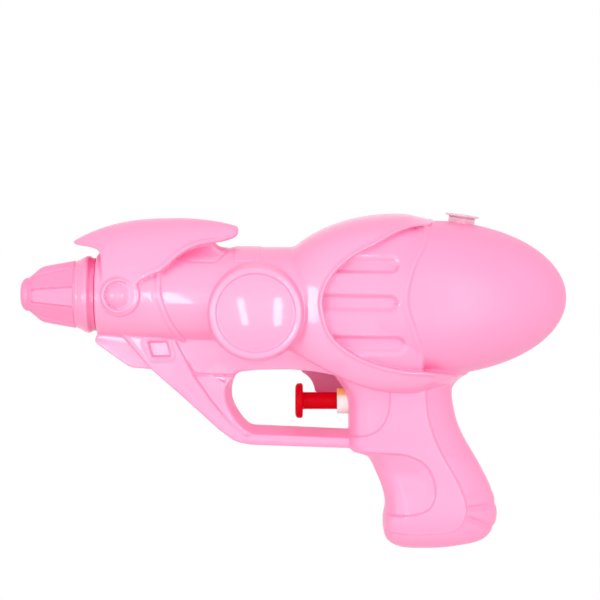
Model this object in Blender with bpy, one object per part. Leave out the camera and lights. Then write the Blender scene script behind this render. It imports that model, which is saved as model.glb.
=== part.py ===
"""Toy water squirter in the shape of a ray gun.

Two welded half shells form the water tank and carry a trigger pump, its two ball
valves, the tubes, a nozzle cap and a push-in filler plug.  Metres, +Z up, muzzle
towards -X, parting plane at y = 0, flat of the grip on z = 0.
"""

import math

import bmesh
import bpy
from mathutils import Vector

# Sizes are written in millimetres, and MM turns them to metres as each mesh is stored.
MM = 0.001
GAP = 0.3
WALL = 1.8
BEYOND = 40.0

# Barrel, slimmer at the muzzle, with a step behind its raised front section
AXIS_Z = 85.1
BARREL_FRONT_X = -65.2
BARREL_END_X = 8.0
BARREL_RADIUS = 16.3
MUZZLE_DROP = 3.0
SWELL_LENGTH = 34.0
STEP_X = -43.6
STEP_DEPTH = 0.4

# Round ornaments on the barrel's sides: centre in X and Z, radius, rim and middle as distances from y = 0
DISC_CENTRE = (-12.2, 80.5)
DISC_RADIUS = 15.5
DISC_FACE = 18.4
DISC_CROWN = 19.6
PIVOT_CENTRE = (-56.9, 86.0)
PIVOT_RADIUS = 6.0
PIVOT_FACE = 15.3
PIVOT_CROWN = 16.0

# Tank: a long egg, with a hood wrapped round its front
TANK_CENTRE = (45.5, 84.0)
TANK_REAR_LENGTH = 45.3
TANK_FRONT_LENGTH = 63.0
TANK_HEIGHT = 25.6
TANK_WIDTH = 22.0
TANK_POWER = 2.2
HOOD_CENTRE = (34.0, 82.9)
HOOD_LENGTH = 43.0
HOOD_UP = 29.0
HOOD_DOWN = 31.0
HOOD_WIDTH = 22.8
HOOD_POWER = 2.7
GROOVE_DEPTH = 0.9

# Visor over the muzzle
VISOR_PEAK = (-38.0, 110.5)
VISOR_FRONT_X = -73.2
VISOR_REAR_X = -18.6
VISOR_FRONT_DROP = 7.6
VISOR_REAR_DROP = 2.6
VISOR_SKIRT = 9.0

# Frame plates under the barrel, as half widths
KEEL_HALF = 5.6
WEB_HALF = 5.1
STRUT_HALF = 6.5
FIN_HALF = 4.5
PLATE_ROUND = 1.1

# Grip
GRIP_POWER = 4.5
GRIP_HALF = 12.4
RECESS_DEPTH = 0.8

# Trigger pump; the pad stops just short of the gland at the end of its stroke
PUMP_Z = 49.4
STROKE = 11.0
STOP_GAP = 0.35
PAD_FRONT_X = 0.5
PAD_RADIUS = 5.85
PAD_THICK = 2.65
ROD_RADIUS = 2.85
ROD_BORE = 3.05
ROD_END_RADIUS = 1.2
ROD_END_LENGTH = 2.6
GLAND_FRONT_X = PAD_FRONT_X + PAD_THICK + STROKE + STOP_GAP
GLAND_RADIUS = 4.3
GLAND_REAR_X = 26.0
GLAND_FLANGE_X = (21.7, 23.7)
FLANGE_RADIUS = 6.4
WASHER_FRONT_X = 20.4
WASHER_RADII = (4.7, 6.1)
CYLINDER_X = (24.0, 47.5)
CYLINDER_BORE = 3.95
CYLINDER_RADIUS = 5.2
CYLINDER_FLOOR_X = 45.5
CYLINDER_FLANGE = 2.0
PISTON_X = (26.4, 30.4)
PISTON_RADIUS = 3.55
RING_RADIUS = 0.6
RING_PROUD = 0.15
PORT_X = 42.8
INLET_FOOT_Z = 37.5
OUTLET_TOP_Z = 58.9
PUMP_WEB_Y = (PAD_RADIUS + 0.6, PAD_RADIUS + 2.6)

# Valves and tubes
BALL_RADIUS = 1.9
OUTLET_SEAT_X = -78.0
OUTLET_BALL_X = OUTLET_SEAT_X - BALL_RADIUS
INLET_SEAT_Z = 39.0
INLET_BALL_Z = INLET_SEAT_Z + 1.7
VALVE_BORE = 2.4
SEAT_MOUTH = 1.3
PASSAGE = 1.0
BARB_RADIUS = 1.7
BARB_TIP = 1.4
TUBE_BORE = 2.0
TUBE_RADIUS = 2.8

# Nozzle cap: its jet, the spigot in the barrel's end and the flats round its cone
NOZZLE_FRONT_X = -90.8
JET_RADIUS = 0.8
SPIGOT_END_X = -61.0
SPIGOT_RADIUS = 7.2
SPIGOT_BORE = 4.5
SPRING_SEAT_X = -87.0
CAP_BACK_X = BARREL_FRONT_X - 1.3
FLAT_COUNT = 8
FLAT_X = (-87.4, -73.6)
FLAT_REACH = (9.1, 8.9)

# Filler at the top of the tank
FILLER_TILT = math.radians(8.0)
FILLER_X = 55.7
FILLER_HOLE = 3.9
NECK_BORE = 2.7
PLUG_RADIUS = 5.65
PLUG_STEM = 2.35

# Facets round a turned piece, a hull or a hose, and a turn that keeps a cutter's edges off the piece's own
ROUND = 26
FINE = 16
HULL_SIDES = 22
HOSE_SIDES = 10
OFF_SEAM = math.radians(5.0)


def clear_scene():
    """Remove every object that the new file starts with."""
    for item in list(bpy.data.objects):
        bpy.data.objects.remove(item, do_unlink=True)


def plastic(name, colour, roughness, metallic=0.0, transmission=0.0):
    """Principled material with a linear colour."""
    material = bpy.data.materials.new(name)
    material.use_nodes = True
    shader = material.node_tree.nodes["Principled BSDF"]
    shader.inputs["Base Color"].default_value = (*colour, 1.0)
    shader.inputs["Roughness"].default_value = roughness
    shader.inputs["Metallic"].default_value = metallic
    shader.inputs["Transmission Weight"].default_value = transmission
    return material


def store(name, bm):
    """Turn a mesh in millimetres into an object in metres, with round stretches shaded smooth."""
    bmesh.ops.remove_doubles(bm, verts=bm.verts, dist=1e-4)
    bmesh.ops.recalc_face_normals(bm, faces=bm.faces)
    bmesh.ops.scale(bm, vec=(MM, MM, MM), verts=bm.verts)
    mesh = bpy.data.meshes.new(name)
    bm.to_mesh(mesh)
    bm.free()
    mesh.shade_smooth()
    mesh.set_sharp_from_angle(angle=math.radians(32.0))
    item = bpy.data.objects.new(name, mesh)
    bpy.context.scene.collection.objects.link(item)
    return item


def place(item, x=0.0, y=0.0, z=0.0, parent=None):
    """Put an object's origin at a point in millimetres."""
    item.location = (x * MM, y * MM, z * MM)
    item.parent = parent
    return item


def anchor(name, x, z, tilt=0.0):
    """Empty on a joint's axis, tilted about Y."""
    empty = bpy.data.objects.new(name, None)
    bpy.context.scene.collection.objects.link(empty)
    empty.rotation_euler = (0.0, tilt, 0.0)
    return place(empty, x, 0.0, z)


def curve_through(points, steps):
    """Smooth open curve through the points, with the given number of steps between neighbours."""
    ends = [points[0], *points, points[-1]]
    out = []
    for a, b, c, d in zip(ends, ends[1:], ends[2:], ends[3:]):
        for k in range(steps):
            t = k / steps
            out.append(tuple(
                0.5 * (2 * q + (r - p) * t + (2 * p - 5 * q + 4 * r - s) * t * t
                       + (3 * q - p - 3 * r + s) * t ** 3)
                for p, q, r, s in zip(a, b, c, d)))
    out.append(tuple(points[-1]))
    return out


def skin(name, rings, closed=False):
    """Loft through rings of equal count, capped at both ends or closed into a loop."""
    bm = bmesh.new()
    loops = [[bm.verts.new(p) for p in ring] for ring in rings]
    pairs = list(zip(loops, loops[1:]))
    if closed:
        pairs.append((loops[-1], loops[0]))
    else:
        bm.faces.new(loops[0])
        bm.faces.new(loops[-1])
    for a, b in pairs:
        for i in range(len(a)):
            j = (i + 1) % len(a)
            bm.faces.new((a[i], a[j], b[j], b[i]))
    return store(name, bm)


SPIN_AXES = {
    "X": (Vector((1, 0, 0)), Vector((0, 0, 1))),
    "Y": (Vector((0, 1, 0)), Vector((0, 0, 1))),
    "Z": (Vector((0, 0, 1)), Vector((1, 0, 0))),
}


def turned(name, profile, axis="X", closed=False, segments=ROUND):
    """Spin a profile of (along, radius) pairs about an axis; a closed one leaves a bore."""
    along, out = SPIN_AXES[axis]
    bm = bmesh.new()
    verts = [bm.verts.new(along * a + out * r) for a, r in profile]
    pairs = list(zip(verts, verts[1:]))
    if closed:
        pairs.append((verts[-1], verts[0]))
    for pair in pairs:
        bm.edges.new(pair)
    bmesh.ops.spin(bm, geom=bm.verts[:] + bm.edges[:], cent=(0, 0, 0), axis=along,
                   angle=2 * math.pi, steps=segments, use_merge=True)
    return store(name, bm)


def rod(name, start, end, radius, axis="X", segments=ROUND):
    """Plain round bar along an axis."""
    return turned(name, [(start, 0), (start, radius), (end, radius), (end, 0)], axis, segments=segments)


def plate(name, outline, low, high, bevel=0.0):
    """Outline in X and Z, extruded from y = low to y = high, with its rims rounded."""
    bm = bmesh.new()
    face = bm.faces.new([bm.verts.new((x, low, z)) for x, z in outline])
    grown = bmesh.ops.extrude_face_region(bm, geom=[face])
    moved = [v for v in grown["geom"] if isinstance(v, bmesh.types.BMVert)]
    bmesh.ops.translate(bm, vec=(0, high - low, 0), verts=moved)
    if bevel:
        rims = [e for e in bm.edges if abs(e.verts[0].co.y - e.verts[1].co.y) < 1e-4]
        bmesh.ops.bevel(bm, geom=rims, offset=bevel, segments=2, profile=0.5, affect="EDGES",
                        clamp_overlap=True)
    return store(name, bm)


def hull_ring(x, mid, half, up, down, power, count=HULL_SIDES):
    """Cross-section at one x: a rounded oval with its own height above and below the middle."""
    ring = []
    for k in range(count):
        angle = 2 * math.pi * k / count
        c, s = math.cos(angle), math.sin(angle)
        height = up if s >= 0 else down
        y = half * math.copysign(abs(c) ** (2 / power), c)
        z = mid + height * math.copysign(abs(s) ** (2 / power), s)
        ring.append((x, y, z))
    return ring


def boolean(item, tool, operation):
    """Join or cut with another solid, which is used up, and keep the result as the object's own mesh."""
    change = item.modifiers.new(operation.lower(), "BOOLEAN")
    change.operation = operation
    change.solver = "EXACT"
    change.object = tool
    bpy.context.view_layer.update()
    graph = bpy.context.evaluated_depsgraph_get()
    mesh = bpy.data.meshes.new_from_object(item.evaluated_get(graph))
    item.modifiers.clear()
    item.data = mesh
    bpy.data.objects.remove(tool, do_unlink=True)
    return item


def join(item, *tools):
    """Unite solids into one."""
    for tool in tools:
        boolean(item, tool, "UNION")
    return item


def cut(item, *tools):
    """Take solids away from one."""
    for tool in tools:
        boolean(item, tool, "DIFFERENCE")
    return item


def dress(material, *items):
    """Give the objects their material."""
    for item in items:
        item.data.materials.clear()
        item.data.materials.append(material)


# Outer body of the shells


def barrel_radius(x):
    """Radius of the barrel, which swells from the muzzle to the ornament discs."""
    swell = min(max((x - BARREL_FRONT_X) / SWELL_LENGTH, 0.0), 1.0)
    return BARREL_RADIUS - MUZZLE_DROP * (1.0 - swell) ** 1.4


def barrel_solid(inset=0.0):
    """Barrel with a raised front section, or the bore inside it, which leaves a wall at the muzzle."""
    front = BARREL_FRONT_X + 1.3 * inset
    profile = [(front, 0), (front, barrel_radius(front) - 0.7 - inset)]
    profile += [(x, barrel_radius(x) - inset) for x in (front + 0.8, -56.0, -47.0, STEP_X)]
    profile += [(x, barrel_radius(x) - STEP_DEPTH - inset) for x in (STEP_X + 0.8, -37.0)]
    profile += [(-31.0, BARREL_RADIUS - inset), (BARREL_END_X, BARREL_RADIUS - inset), (BARREL_END_X, 0)]
    return place(turned("barrel", profile), z=AXIS_Z)


# Angles along the tank's and the hood's length, from their fronts to their backs
TANK_ANGLES = (-52, -40, -27, -14, 0, 16, 31, 45, 58, 70, 80, 86)
HOLLOW_LAST_ANGLE = 75
HOOD_ANGLES = (-63, -50, -37, -24, -10, 4, 17, 28, 38)
TAIL_TIP = 0.02


def tank_solid(inset=0.0):
    """The egg of the tank, or the hollow inside it."""
    x0, z0 = TANK_CENTRE
    rear = TANK_REAR_LENGTH - inset
    rings = []
    for degrees in TANK_ANGLES:
        if inset and degrees > HOLLOW_LAST_ANGLE:
            break
        angle = math.radians(degrees)
        size = math.cos(angle)
        x = x0 + (rear if degrees > 0 else TANK_FRONT_LENGTH) * math.sin(angle)
        height = TANK_HEIGHT * size - inset
        rings.append(hull_ring(x, z0, TANK_WIDTH * size - inset, height, height, TANK_POWER))
    if not inset:
        rings.append([(x0 + rear, y * TAIL_TIP, z0 + (z - z0) * TAIL_TIP) for _, y, z in rings[-1]])
    return skin("tank", rings)


HOOD_EDGE = [
    (46.2, 113.0), (45.6, 108.7), (38.2, 107.7), (28.0, 104.2), (19.2, 99.5), (12.8, 93.7), (9.5, 87.0),
    (9.3, 80.8), (12.2, 73.6), (18.3, 68.1), (26.4, 64.2), (36.2, 61.3), (47.5, 60.0), (60.0, 60.0),
]
HOOD_BACK_X = 90.0


def hood_solid():
    """Hood round the front of the tank, open behind its curved edge."""
    x0, z0 = HOOD_CENTRE
    rings = []
    for degrees in HOOD_ANGLES:
        angle = math.radians(degrees)
        size = math.cos(angle)
        rings.append(hull_ring(x0 + HOOD_LENGTH * math.sin(angle), z0, HOOD_WIDTH * size, HOOD_UP * size,
                               HOOD_DOWN * size, HOOD_POWER))
    hood = skin("hood", rings)
    top, foot = HOOD_EDGE[0][1], HOOD_EDGE[-1][1]
    window = curve_through(HOOD_EDGE, 2) + [(HOOD_BACK_X, foot), (HOOD_BACK_X, top)]
    return cut(hood, plate("hood_window", window, -BEYOND, BEYOND))


def visor_height(x):
    """Top line of the visor."""
    peak_x, peak_z = VISOR_PEAK
    if x < peak_x:
        return peak_z - VISOR_FRONT_DROP * ((peak_x - x) / (peak_x - VISOR_FRONT_X)) ** 2.7
    return peak_z - VISOR_REAR_DROP * ((x - peak_x) / (VISOR_REAR_X - peak_x)) ** 2


# Half widths of the visor along X, and its outline from the side, without the top
VISOR_HALVES = [
    (VISOR_FRONT_X, 3.0), (-70.5, 7.2), (-66.0, 11.0), (-59.0, 14.1), (-51.0, 15.2), (-43.5, 15.7),
    (-36.0, 14.0), (-29.0, 11.2), (-23.5, 8.0), (VISOR_REAR_X, 4.2),
]
VISOR_EDGE = [
    (VISOR_REAR_X, 106.1), (-19.1, 104.9), (-20.4, 103.9), (-25.6, 103.1), (-32.2, 101.9), (-38.1, 98.3),
    (-42.7, 93.9), (-47.6, 92.1), (-50.4, 89.7), (-52.0, 84.0), (-61.5, 84.0), (-63.0, 97.0),
    (-63.4, 100.0), (-66.4, 101.1), (-72.0, 101.7), (-75.0, 102.6),
]
VISOR_TOP_Z = 114.0
VISOR_HOLLOW_X = (-60.0, -43.0)


def visor_solid(inset=0.0):
    """Visor that hangs over the muzzle, or the hollow inside it."""
    first, last = VISOR_HOLLOW_X
    rings = [hull_ring(x, AXIS_Z, half - inset, visor_height(x) - AXIS_Z - inset, VISOR_SKIRT, 2.0)
             for x, half in VISOR_HALVES if not inset or first < x < last]
    visor = skin("visor", rings)
    if inset:
        return visor
    outline = VISOR_EDGE + [(VISOR_EDGE[-1][0], VISOR_TOP_Z), (VISOR_REAR_X, VISOR_TOP_Z)]
    return boolean(visor, plate("visor_outline", outline, -BEYOND, BEYOND), "INTERSECT")


def ornament(centre, radius, face, crown):
    """Round boss on both sides of the barrel: a rim, a groove and a domed middle."""
    rim = 0.085 * radius
    half = [
        (face - 1.1, radius), (face - 0.3, radius - 0.4 * rim), (face, radius - rim),
        (face - 0.3, radius - 1.9 * rim), (face - 0.9, radius - 2.4 * rim),
        (face + 0.55 * (crown - face), 0.55 * radius), (crown, 0.18 * radius), (crown + 0.05, 0.0),
    ]
    profile = [(-along, r) for along, r in reversed(half)] + half
    return place(turned("ornament", profile, "Y"), centre[0], 0.0, centre[1])


# Finger opening: its top from the grip forwards, and its front from the top down
OPENING_TOP = [(13.5, 58.6), (8.0, 59.8), (-1.1, 60.7), (-12.7, 60.6), (-18.4, 59.8)]
OPENING_FRONT = [(-19.6, 58.4), (-20.7, 54.0), (-20.3, 49.2), (-17.6, 43.8), (-14.8, 40.6)]
KEEL = [
    (30.0, 80.0), (30.0, 58.6), *OPENING_TOP, (-19.6, 58.9), (-32.3, 59.2), (-38.5, 69.0), (-38.5, 80.0),
]
STRUT = [
    (-58.6, 76.0), (-57.3, 72.5), (-47.5, 60.9), (-37.8, 52.4), (-24.5, 40.2), (-19.5, 36.5), (-14.5, 35.3),
    (24.0, 34.0), (24.0, 39.0), (-14.8, 39.9), (-19.4, 42.5), (-27.0, 51.0), (-34.2, 62.0), (-38.8, 71.0),
    (-38.8, 76.0),
]
WEB = [(-36.0, 68.0), (-31.0, 59.0), *OPENING_FRONT, (-13.0, 38.0), (-20.0, 40.5), (-30.0, 53.0)]
FIN = [
    (-64.8, 76.0), (-65.0, 72.5), (-66.1, 70.1), (-65.3, 68.9), (-56.1, 62.3), (-54.0, 61.0), (-47.0, 60.4),
    (-42.0, 62.0), (-42.0, 76.0),
]


def frame_solids():
    """Keel under the barrel, slanted strut with the trigger guard, web behind it and front fin."""
    return [
        plate("keel", KEEL, -KEEL_HALF, KEEL_HALF, PLATE_ROUND),
        plate("strut", STRUT, -STRUT_HALF, STRUT_HALF, PLATE_ROUND),
        plate("web", WEB, -WEB_HALF, WEB_HALF),
        plate("fin", FIN, -FIN_HALF, FIN_HALF, PLATE_ROUND),
    ]


# Height, front x, back x and half width of the grip, from its flat to the hood
GRIP_STATIONS = [
    (0.0, 38.0, 50.0, 7.6), (0.9, 35.0, 55.5, 9.8), (2.5, 32.0, 62.6, 11.2), (5.0, 30.4, 66.0, 12.1),
    (9.5, 30.1, 68.1, 12.5), (14.5, 30.8, 68.0, 12.5), (20.4, 29.7, 66.2, 12.3), (26.5, 27.3, 63.2, 12.3),
    (30.8, 25.1, 60.8, 12.3), (32.3, 22.4, 59.9, 12.3), (33.3, 19.3, 59.3, 12.3), (36.0, 18.5, 57.7, 12.3),
    (42.0, 18.4, 54.9, 12.5), (49.0, 18.2, 53.2, 12.6), (53.8, 17.0, 53.0, 12.8), (58.0, 13.9, 53.0, 12.8),
    (66.0, 12.0, 53.0, 12.8),
]
GRIP_HOLLOW_FOOT = 2.0
GRIP_SIDES = 20


def grip_solid(inset=0.0):
    """Grip with its heel, or the hollow inside it, which opens into the tank."""
    rings = []
    for z, front, back, half in GRIP_STATIONS:
        if inset and z < GRIP_HOLLOW_FOOT:
            continue
        middle, reach = 0.5 * (front + back), 0.5 * (back - front) - inset
        flat = hull_ring(0.0, 0.0, half - inset, reach, reach, GRIP_POWER, GRIP_SIDES)
        rings.append([(middle + b, a, z) for _, a, b in flat])
    return skin("grip", rings)


# Left end, right end, middle height and half height of each groove beside the hood's edge
GROOVES = [(12.2, 34.4, 96.1, 2.7), (9.6, 34.1, 83.8, 3.0), (13.4, 36.5, 70.4, 2.9)]


def groove_cutters():
    """Three round-ended grooves in the panel behind the hood's edge, as deep all along the tank's side."""
    slots = []
    for left, right, middle, half in GROOVES:
        arc = [math.radians(degrees) for degrees in range(-90, 91, 30)]
        end = [(right - half + half * math.cos(a), middle + half * math.sin(a)) for a in arc]
        slots.append(plate("groove", [(left, middle + half), (left, middle - half), *end], -BEYOND, BEYOND))
    grooves = join(slots[0], *slots[1:])
    return cut(grooves, tank_solid(GROOVE_DEPTH))


GRIP_PANEL = [(17.0, 53.2), (17.0, 38.8), (25.8, 39.9), (30.0, 43.7), (31.6, 48.7), (31.6, 54.2)]
THUMB_REST = [
    (24.0, 32.4), (36.0, 33.0), (42.0, 30.8), (46.0, 25.4), (46.9, 19.7), (44.5, 14.7), (39.0, 12.8),
    (28.0, 13.7),
]
STRUT_WINDOW = [(-48.0, 69.9), (-41.8, 69.9), (-40.6, 65.2), (-46.6, 65.0)]


def recess_cutters():
    """Shallow recesses on both sides of the grip and the strut."""
    cutters = []
    for outline, half in ((GRIP_PANEL, GRIP_HALF), (THUMB_REST, GRIP_HALF), (STRUT_WINDOW, STRUT_HALF)):
        floor = half - RECESS_DEPTH
        cutters.append(plate("recess", outline, floor, BEYOND))
        cutters.append(plate("recess", outline, -BEYOND, -floor))
    return cutters


def filler_point():
    """Point on the tank's top where the filler sits."""
    x0, z0 = TANK_CENTRE
    return FILLER_X, z0 + TANK_HEIGHT * math.sqrt(1.0 - ((FILLER_X - x0) / TANK_REAR_LENGTH) ** 2)


PUMP_WEB = [
    (2.5, 62.0), (2.6, 58.4), (4.9, 56.9), (6.2, 55.2), (7.0, 53.2), (7.3, 51.4), (20.5, 51.4), (20.5, 62.0),
]
HALF_SPACE = [(-150, -50), (150, -50), (150, 200), (-150, 200)]


def build_shells(pink):
    """Left and right half shells of the body, welded along the parting plane."""
    disc = ornament(DISC_CENTRE, DISC_RADIUS, DISC_FACE, DISC_CROWN)
    pivot = ornament(PIVOT_CENTRE, PIVOT_RADIUS, PIVOT_FACE, PIVOT_CROWN)
    body = join(tank_solid(), barrel_solid(), hood_solid(), grip_solid(), *frame_solids(), visor_solid(),
                disc, pivot)
    cut(body, groove_cutters(), *recess_cutters())
    hollow = join(tank_solid(WALL), barrel_solid(WALL), visor_solid(WALL), grip_solid(WALL))
    nozzle_hole = place(rod("nozzle_hole", -68.0, -60.0, SPIGOT_RADIUS + GAP), z=AXIS_Z)
    nozzle_hole.rotation_euler = (OFF_SEAM, 0.0, 0.0)
    gland_hole = place(rod("gland_hole", 12.0, 24.0, GLAND_RADIUS + GAP), z=PUMP_Z)
    x, z = filler_point()
    filler_hole = place(rod("filler_hole", -6.0, 6.0, FILLER_HOLE, "Z"), x, 0.0, z)
    filler_hole.rotation_euler = (0.0, FILLER_TILT, 0.0)
    cut(body, hollow, nozzle_hole, gland_hole, filler_hole)
    shells = []
    for name, side in (("left_shell", -1), ("right_shell", 1)):
        shell = bpy.data.objects.new(name, body.data.copy())
        bpy.context.scene.collection.objects.link(shell)
        low, high = sorted((side * GAP / 2, -side * BEYOND))
        shells.append(cut(shell, plate("other_half", HALF_SPACE, low, high)))
    bpy.data.objects.remove(body, do_unlink=True)
    join(shells[1], plate("pump_web", PUMP_WEB, *PUMP_WEB_Y))
    dress(pink, *shells)


# Pieces inside and on the shells


def ball_profile():
    """Half circle from pole to pole."""
    steps = 8
    angles = [math.pi * k / steps for k in range(steps + 1)]
    return [(-BALL_RADIUS * math.cos(a), BALL_RADIUS * math.sin(a)) for a in angles]


def coil(name, start, end, radius, wire, turns, axis_z, material):
    """Compression spring along X as one unbroken wire; prints the least gap between its turns."""
    per_turn = 10
    count = turns * per_turn
    points = []
    for k in range(count + 1):
        angle = 2 * math.pi * k / per_turn
        x = start + wire + (end - start - 2 * wire) * k / count
        points.append(Vector((x, radius * math.cos(angle), axis_z + radius * math.sin(angle))))
    gaps = [(a - b).length - 2 * wire for i, a in enumerate(points) for b in points[i + per_turn // 2:]]
    print(f"{name}: least gap to itself {min(gaps):.2f} mm")
    curve = bpy.data.curves.new(name, "CURVE")
    curve.dimensions = "3D"
    curve.bevel_depth = wire * MM
    curve.bevel_resolution = 1
    curve.use_fill_caps = True
    spline = curve.splines.new("POLY")
    spline.points.add(len(points) - 1)
    for target, point in zip(spline.points, points):
        target.co = (*(point * MM), 1.0)
    item = bpy.data.objects.new(name, curve)
    bpy.context.scene.collection.objects.link(item)
    curve.materials.append(material)


def build_nozzle(pink, rubber, milky, steel):
    """Nozzle cap with its gasket, and the spring-loaded outlet valve behind the jet."""
    tip = NOZZLE_FRONT_X
    outer = [
        (SPIGOT_END_X, SPIGOT_RADIUS), (CAP_BACK_X, SPIGOT_RADIUS), (CAP_BACK_X, 11.0),
        (CAP_BACK_X + 0.8, 11.9), (-67.5, 13.0), (-69.6, 12.6), (-71.6, 11.3), (-73.0, 10.9), (-84.5, 8.7),
        (-87.6, 5.9), (-88.0, 5.4), (tip + 0.9, 5.4), (tip, 4.6),
    ]
    seat_back = OUTLET_SEAT_X - GAP
    inner = [
        (tip, JET_RADIUS), (SPRING_SEAT_X, JET_RADIUS), (SPRING_SEAT_X, VALVE_BORE), (seat_back, VALVE_BORE),
        (seat_back, SPIGOT_BORE), (SPIGOT_END_X, SPIGOT_BORE),
    ]
    cap = turned("nozzle_cap", outer + inner, closed=True)
    flat = [(x, z) for x, z in zip((*FLAT_X, *reversed(FLAT_X)), (-BEYOND, -BEYOND, BEYOND, BEYOND))]
    for k in range(FLAT_COUNT):
        reach = FLAT_REACH[k % 2]
        block = plate("flat", flat, reach, reach + BEYOND)
        block.rotation_euler = (2 * math.pi * k / FLAT_COUNT, 0.0, 0.0)
        cut(cap, block)
    gasket = turned("nozzle_gasket", [
        (CAP_BACK_X + GAP, 7.7), (BARREL_FRONT_X - GAP, 7.7), (BARREL_FRONT_X - GAP, 10.6),
        (CAP_BACK_X + GAP, 10.6),
    ], closed=True)
    seat = turned("outlet_seat", [
        (OUTLET_SEAT_X, SEAT_MOUTH), (OUTLET_SEAT_X + 0.7, PASSAGE), (-52.5, PASSAGE), (-52.5, BARB_TIP),
        (-54.0, BARB_RADIUS), (-59.2, BARB_RADIUS), (-59.2, 6.6), (-60.7, 6.6),
        (-60.7, SPIGOT_BORE - GAP), (OUTLET_SEAT_X, SPIGOT_BORE - GAP),
    ], closed=True, segments=FINE)
    ball = turned("outlet_ball", ball_profile(), segments=FINE)
    for item in (cap, gasket, seat):
        place(item, z=AXIS_Z)
    place(ball, OUTLET_BALL_X, 0.0, AXIS_Z)
    coil("outlet_spring", SPRING_SEAT_X + 0.4, OUTLET_BALL_X - 1.75, 1.65, 0.2, 5, AXIS_Z, steel)
    dress(pink, cap)
    dress(rubber, gasket)
    dress(milky, seat)
    dress(steel, ball)


def build_pump(amber, milky, rubber, steel):
    """Gland in the grip's front wall, its washer, the cylinder with two ports and the return spring."""
    flange_front, flange_rear = GLAND_FLANGE_X
    spigot = CYLINDER_BORE - GAP
    gland = turned("pump_gland", [
        (GLAND_FRONT_X, ROD_BORE), (GLAND_FRONT_X, GLAND_RADIUS - 0.5), (GLAND_FRONT_X + 0.5, GLAND_RADIUS),
        (flange_front, GLAND_RADIUS), (flange_front, FLANGE_RADIUS), (flange_rear, FLANGE_RADIUS),
        (flange_rear, spigot), (GLAND_REAR_X, spigot), (GLAND_REAR_X, ROD_BORE),
    ], closed=True)
    washer_rear = flange_front - GAP
    hole, rim = WASHER_RADII
    washer = turned("gland_washer", [
        (WASHER_FRONT_X, hole), (washer_rear, hole), (washer_rear, rim), (WASHER_FRONT_X, rim),
    ], closed=True)
    front, rear = CYLINDER_X
    cylinder = turned("pump_cylinder", [
        (CYLINDER_FLOOR_X, 0.0), (CYLINDER_FLOOR_X, CYLINDER_BORE), (front, CYLINDER_BORE),
        (front, FLANGE_RADIUS), (front + CYLINDER_FLANGE, FLANGE_RADIUS),
        (front + CYLINDER_FLANGE, CYLINDER_RADIUS), (rear, CYLINDER_RADIUS), (rear, 0.0),
    ])
    foot, top = INLET_FOOT_Z - PUMP_Z, OUTLET_TOP_Z - PUMP_Z
    inlet_cup = [(-5.6, 0.0), (-5.6, 2.6), (foot, 2.6), (foot, 3.6), (-4.4, 3.6), (-4.4, 0.0)]
    stubs = [
        turned("inlet_stub", inlet_cup, "Z", segments=FINE),
        rod("outlet_stub", 4.4, top, BARB_RADIUS, "Z", FINE),
    ]
    bores = [
        rod("inlet_port", -6.5, -2.9, PASSAGE, "Z", FINE),
        rod("outlet_port", 2.9, top + 1.0, PASSAGE, "Z", FINE),
    ]
    for item in (*stubs, *bores):
        place(item, PORT_X)
    for item in bores:
        item.rotation_euler = (0.0, 0.0, OFF_SEAM)
    cut(join(cylinder, *stubs), *bores)
    seat = turned("inlet_seat", [
        (INLET_SEAT_Z, SEAT_MOUTH), (INLET_SEAT_Z - 0.6, PASSAGE), (31.4, PASSAGE), (31.4, BARB_TIP),
        (33.0, BARB_RADIUS), (36.1, BARB_RADIUS), (36.1, 3.6), (INLET_FOOT_Z - GAP, 3.6),
        (INLET_FOOT_Z - GAP, 2.3), (INLET_SEAT_Z, 2.3),
    ], "Z", closed=True, segments=FINE)
    ball = place(turned("inlet_ball", ball_profile(), "Z", segments=FINE), PORT_X, 0.0, INLET_BALL_Z)
    for item in (gland, washer, cylinder):
        place(item, z=PUMP_Z)
    place(seat, PORT_X)
    coil("return_spring", PISTON_X[1] + GAP, CYLINDER_FLOOR_X - GAP, 2.75, 0.3, 6, PUMP_Z, steel)
    dress(amber, gland)
    dress(rubber, washer)
    dress(milky, cylinder, seat)
    dress(steel, ball)


def build_trigger(red, milky, rubber):
    """Trigger pad and rod with the piston and its ring, all sliding on the pump's axis."""
    axis = anchor("trigger_axis", 0.0, PUMP_Z)
    front, rear = PISTON_X
    pad_back = PAD_FRONT_X + PAD_THICK
    shoulder, rod_end = front - GAP, front + ROD_END_LENGTH
    trigger = turned("trigger", [
        (PAD_FRONT_X, 0), (PAD_FRONT_X, PAD_RADIUS - 1.4), (PAD_FRONT_X + 0.5, PAD_RADIUS - 0.4),
        (PAD_FRONT_X + 1.3, PAD_RADIUS), (pad_back - 0.5, PAD_RADIUS), (pad_back, PAD_RADIUS - 0.5),
        (pad_back, ROD_RADIUS), (shoulder, ROD_RADIUS), (shoulder, ROD_END_RADIUS),
        (rod_end, ROD_END_RADIUS), (rod_end, 0),
    ])
    middle = 0.5 * (front + rear)
    groove = RING_RADIUS + GAP
    ring_middle = PISTON_RADIUS + RING_PROUD - RING_RADIUS
    socket = ROD_END_RADIUS + GAP
    piston = turned("piston", [
        (rod_end + GAP, 0), (rod_end + GAP, socket), (front, socket), (front, PISTON_RADIUS),
        (middle - groove, PISTON_RADIUS), (middle - groove, ring_middle - groove),
        (middle + groove, ring_middle - groove), (middle + groove, PISTON_RADIUS), (rear, PISTON_RADIUS),
        (rear, 0),
    ])
    sides = 8
    angles = [2 * math.pi * k / sides for k in range(sides)]
    section = [(middle + RING_RADIUS * math.cos(a), ring_middle + RING_RADIUS * math.sin(a)) for a in angles]
    ring = turned("piston_ring", section, closed=True, segments=FINE)
    for item in (trigger, piston, ring):
        place(item, parent=axis)
    dress(red, trigger)
    dress(milky, piston)
    dress(rubber, ring)


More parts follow.
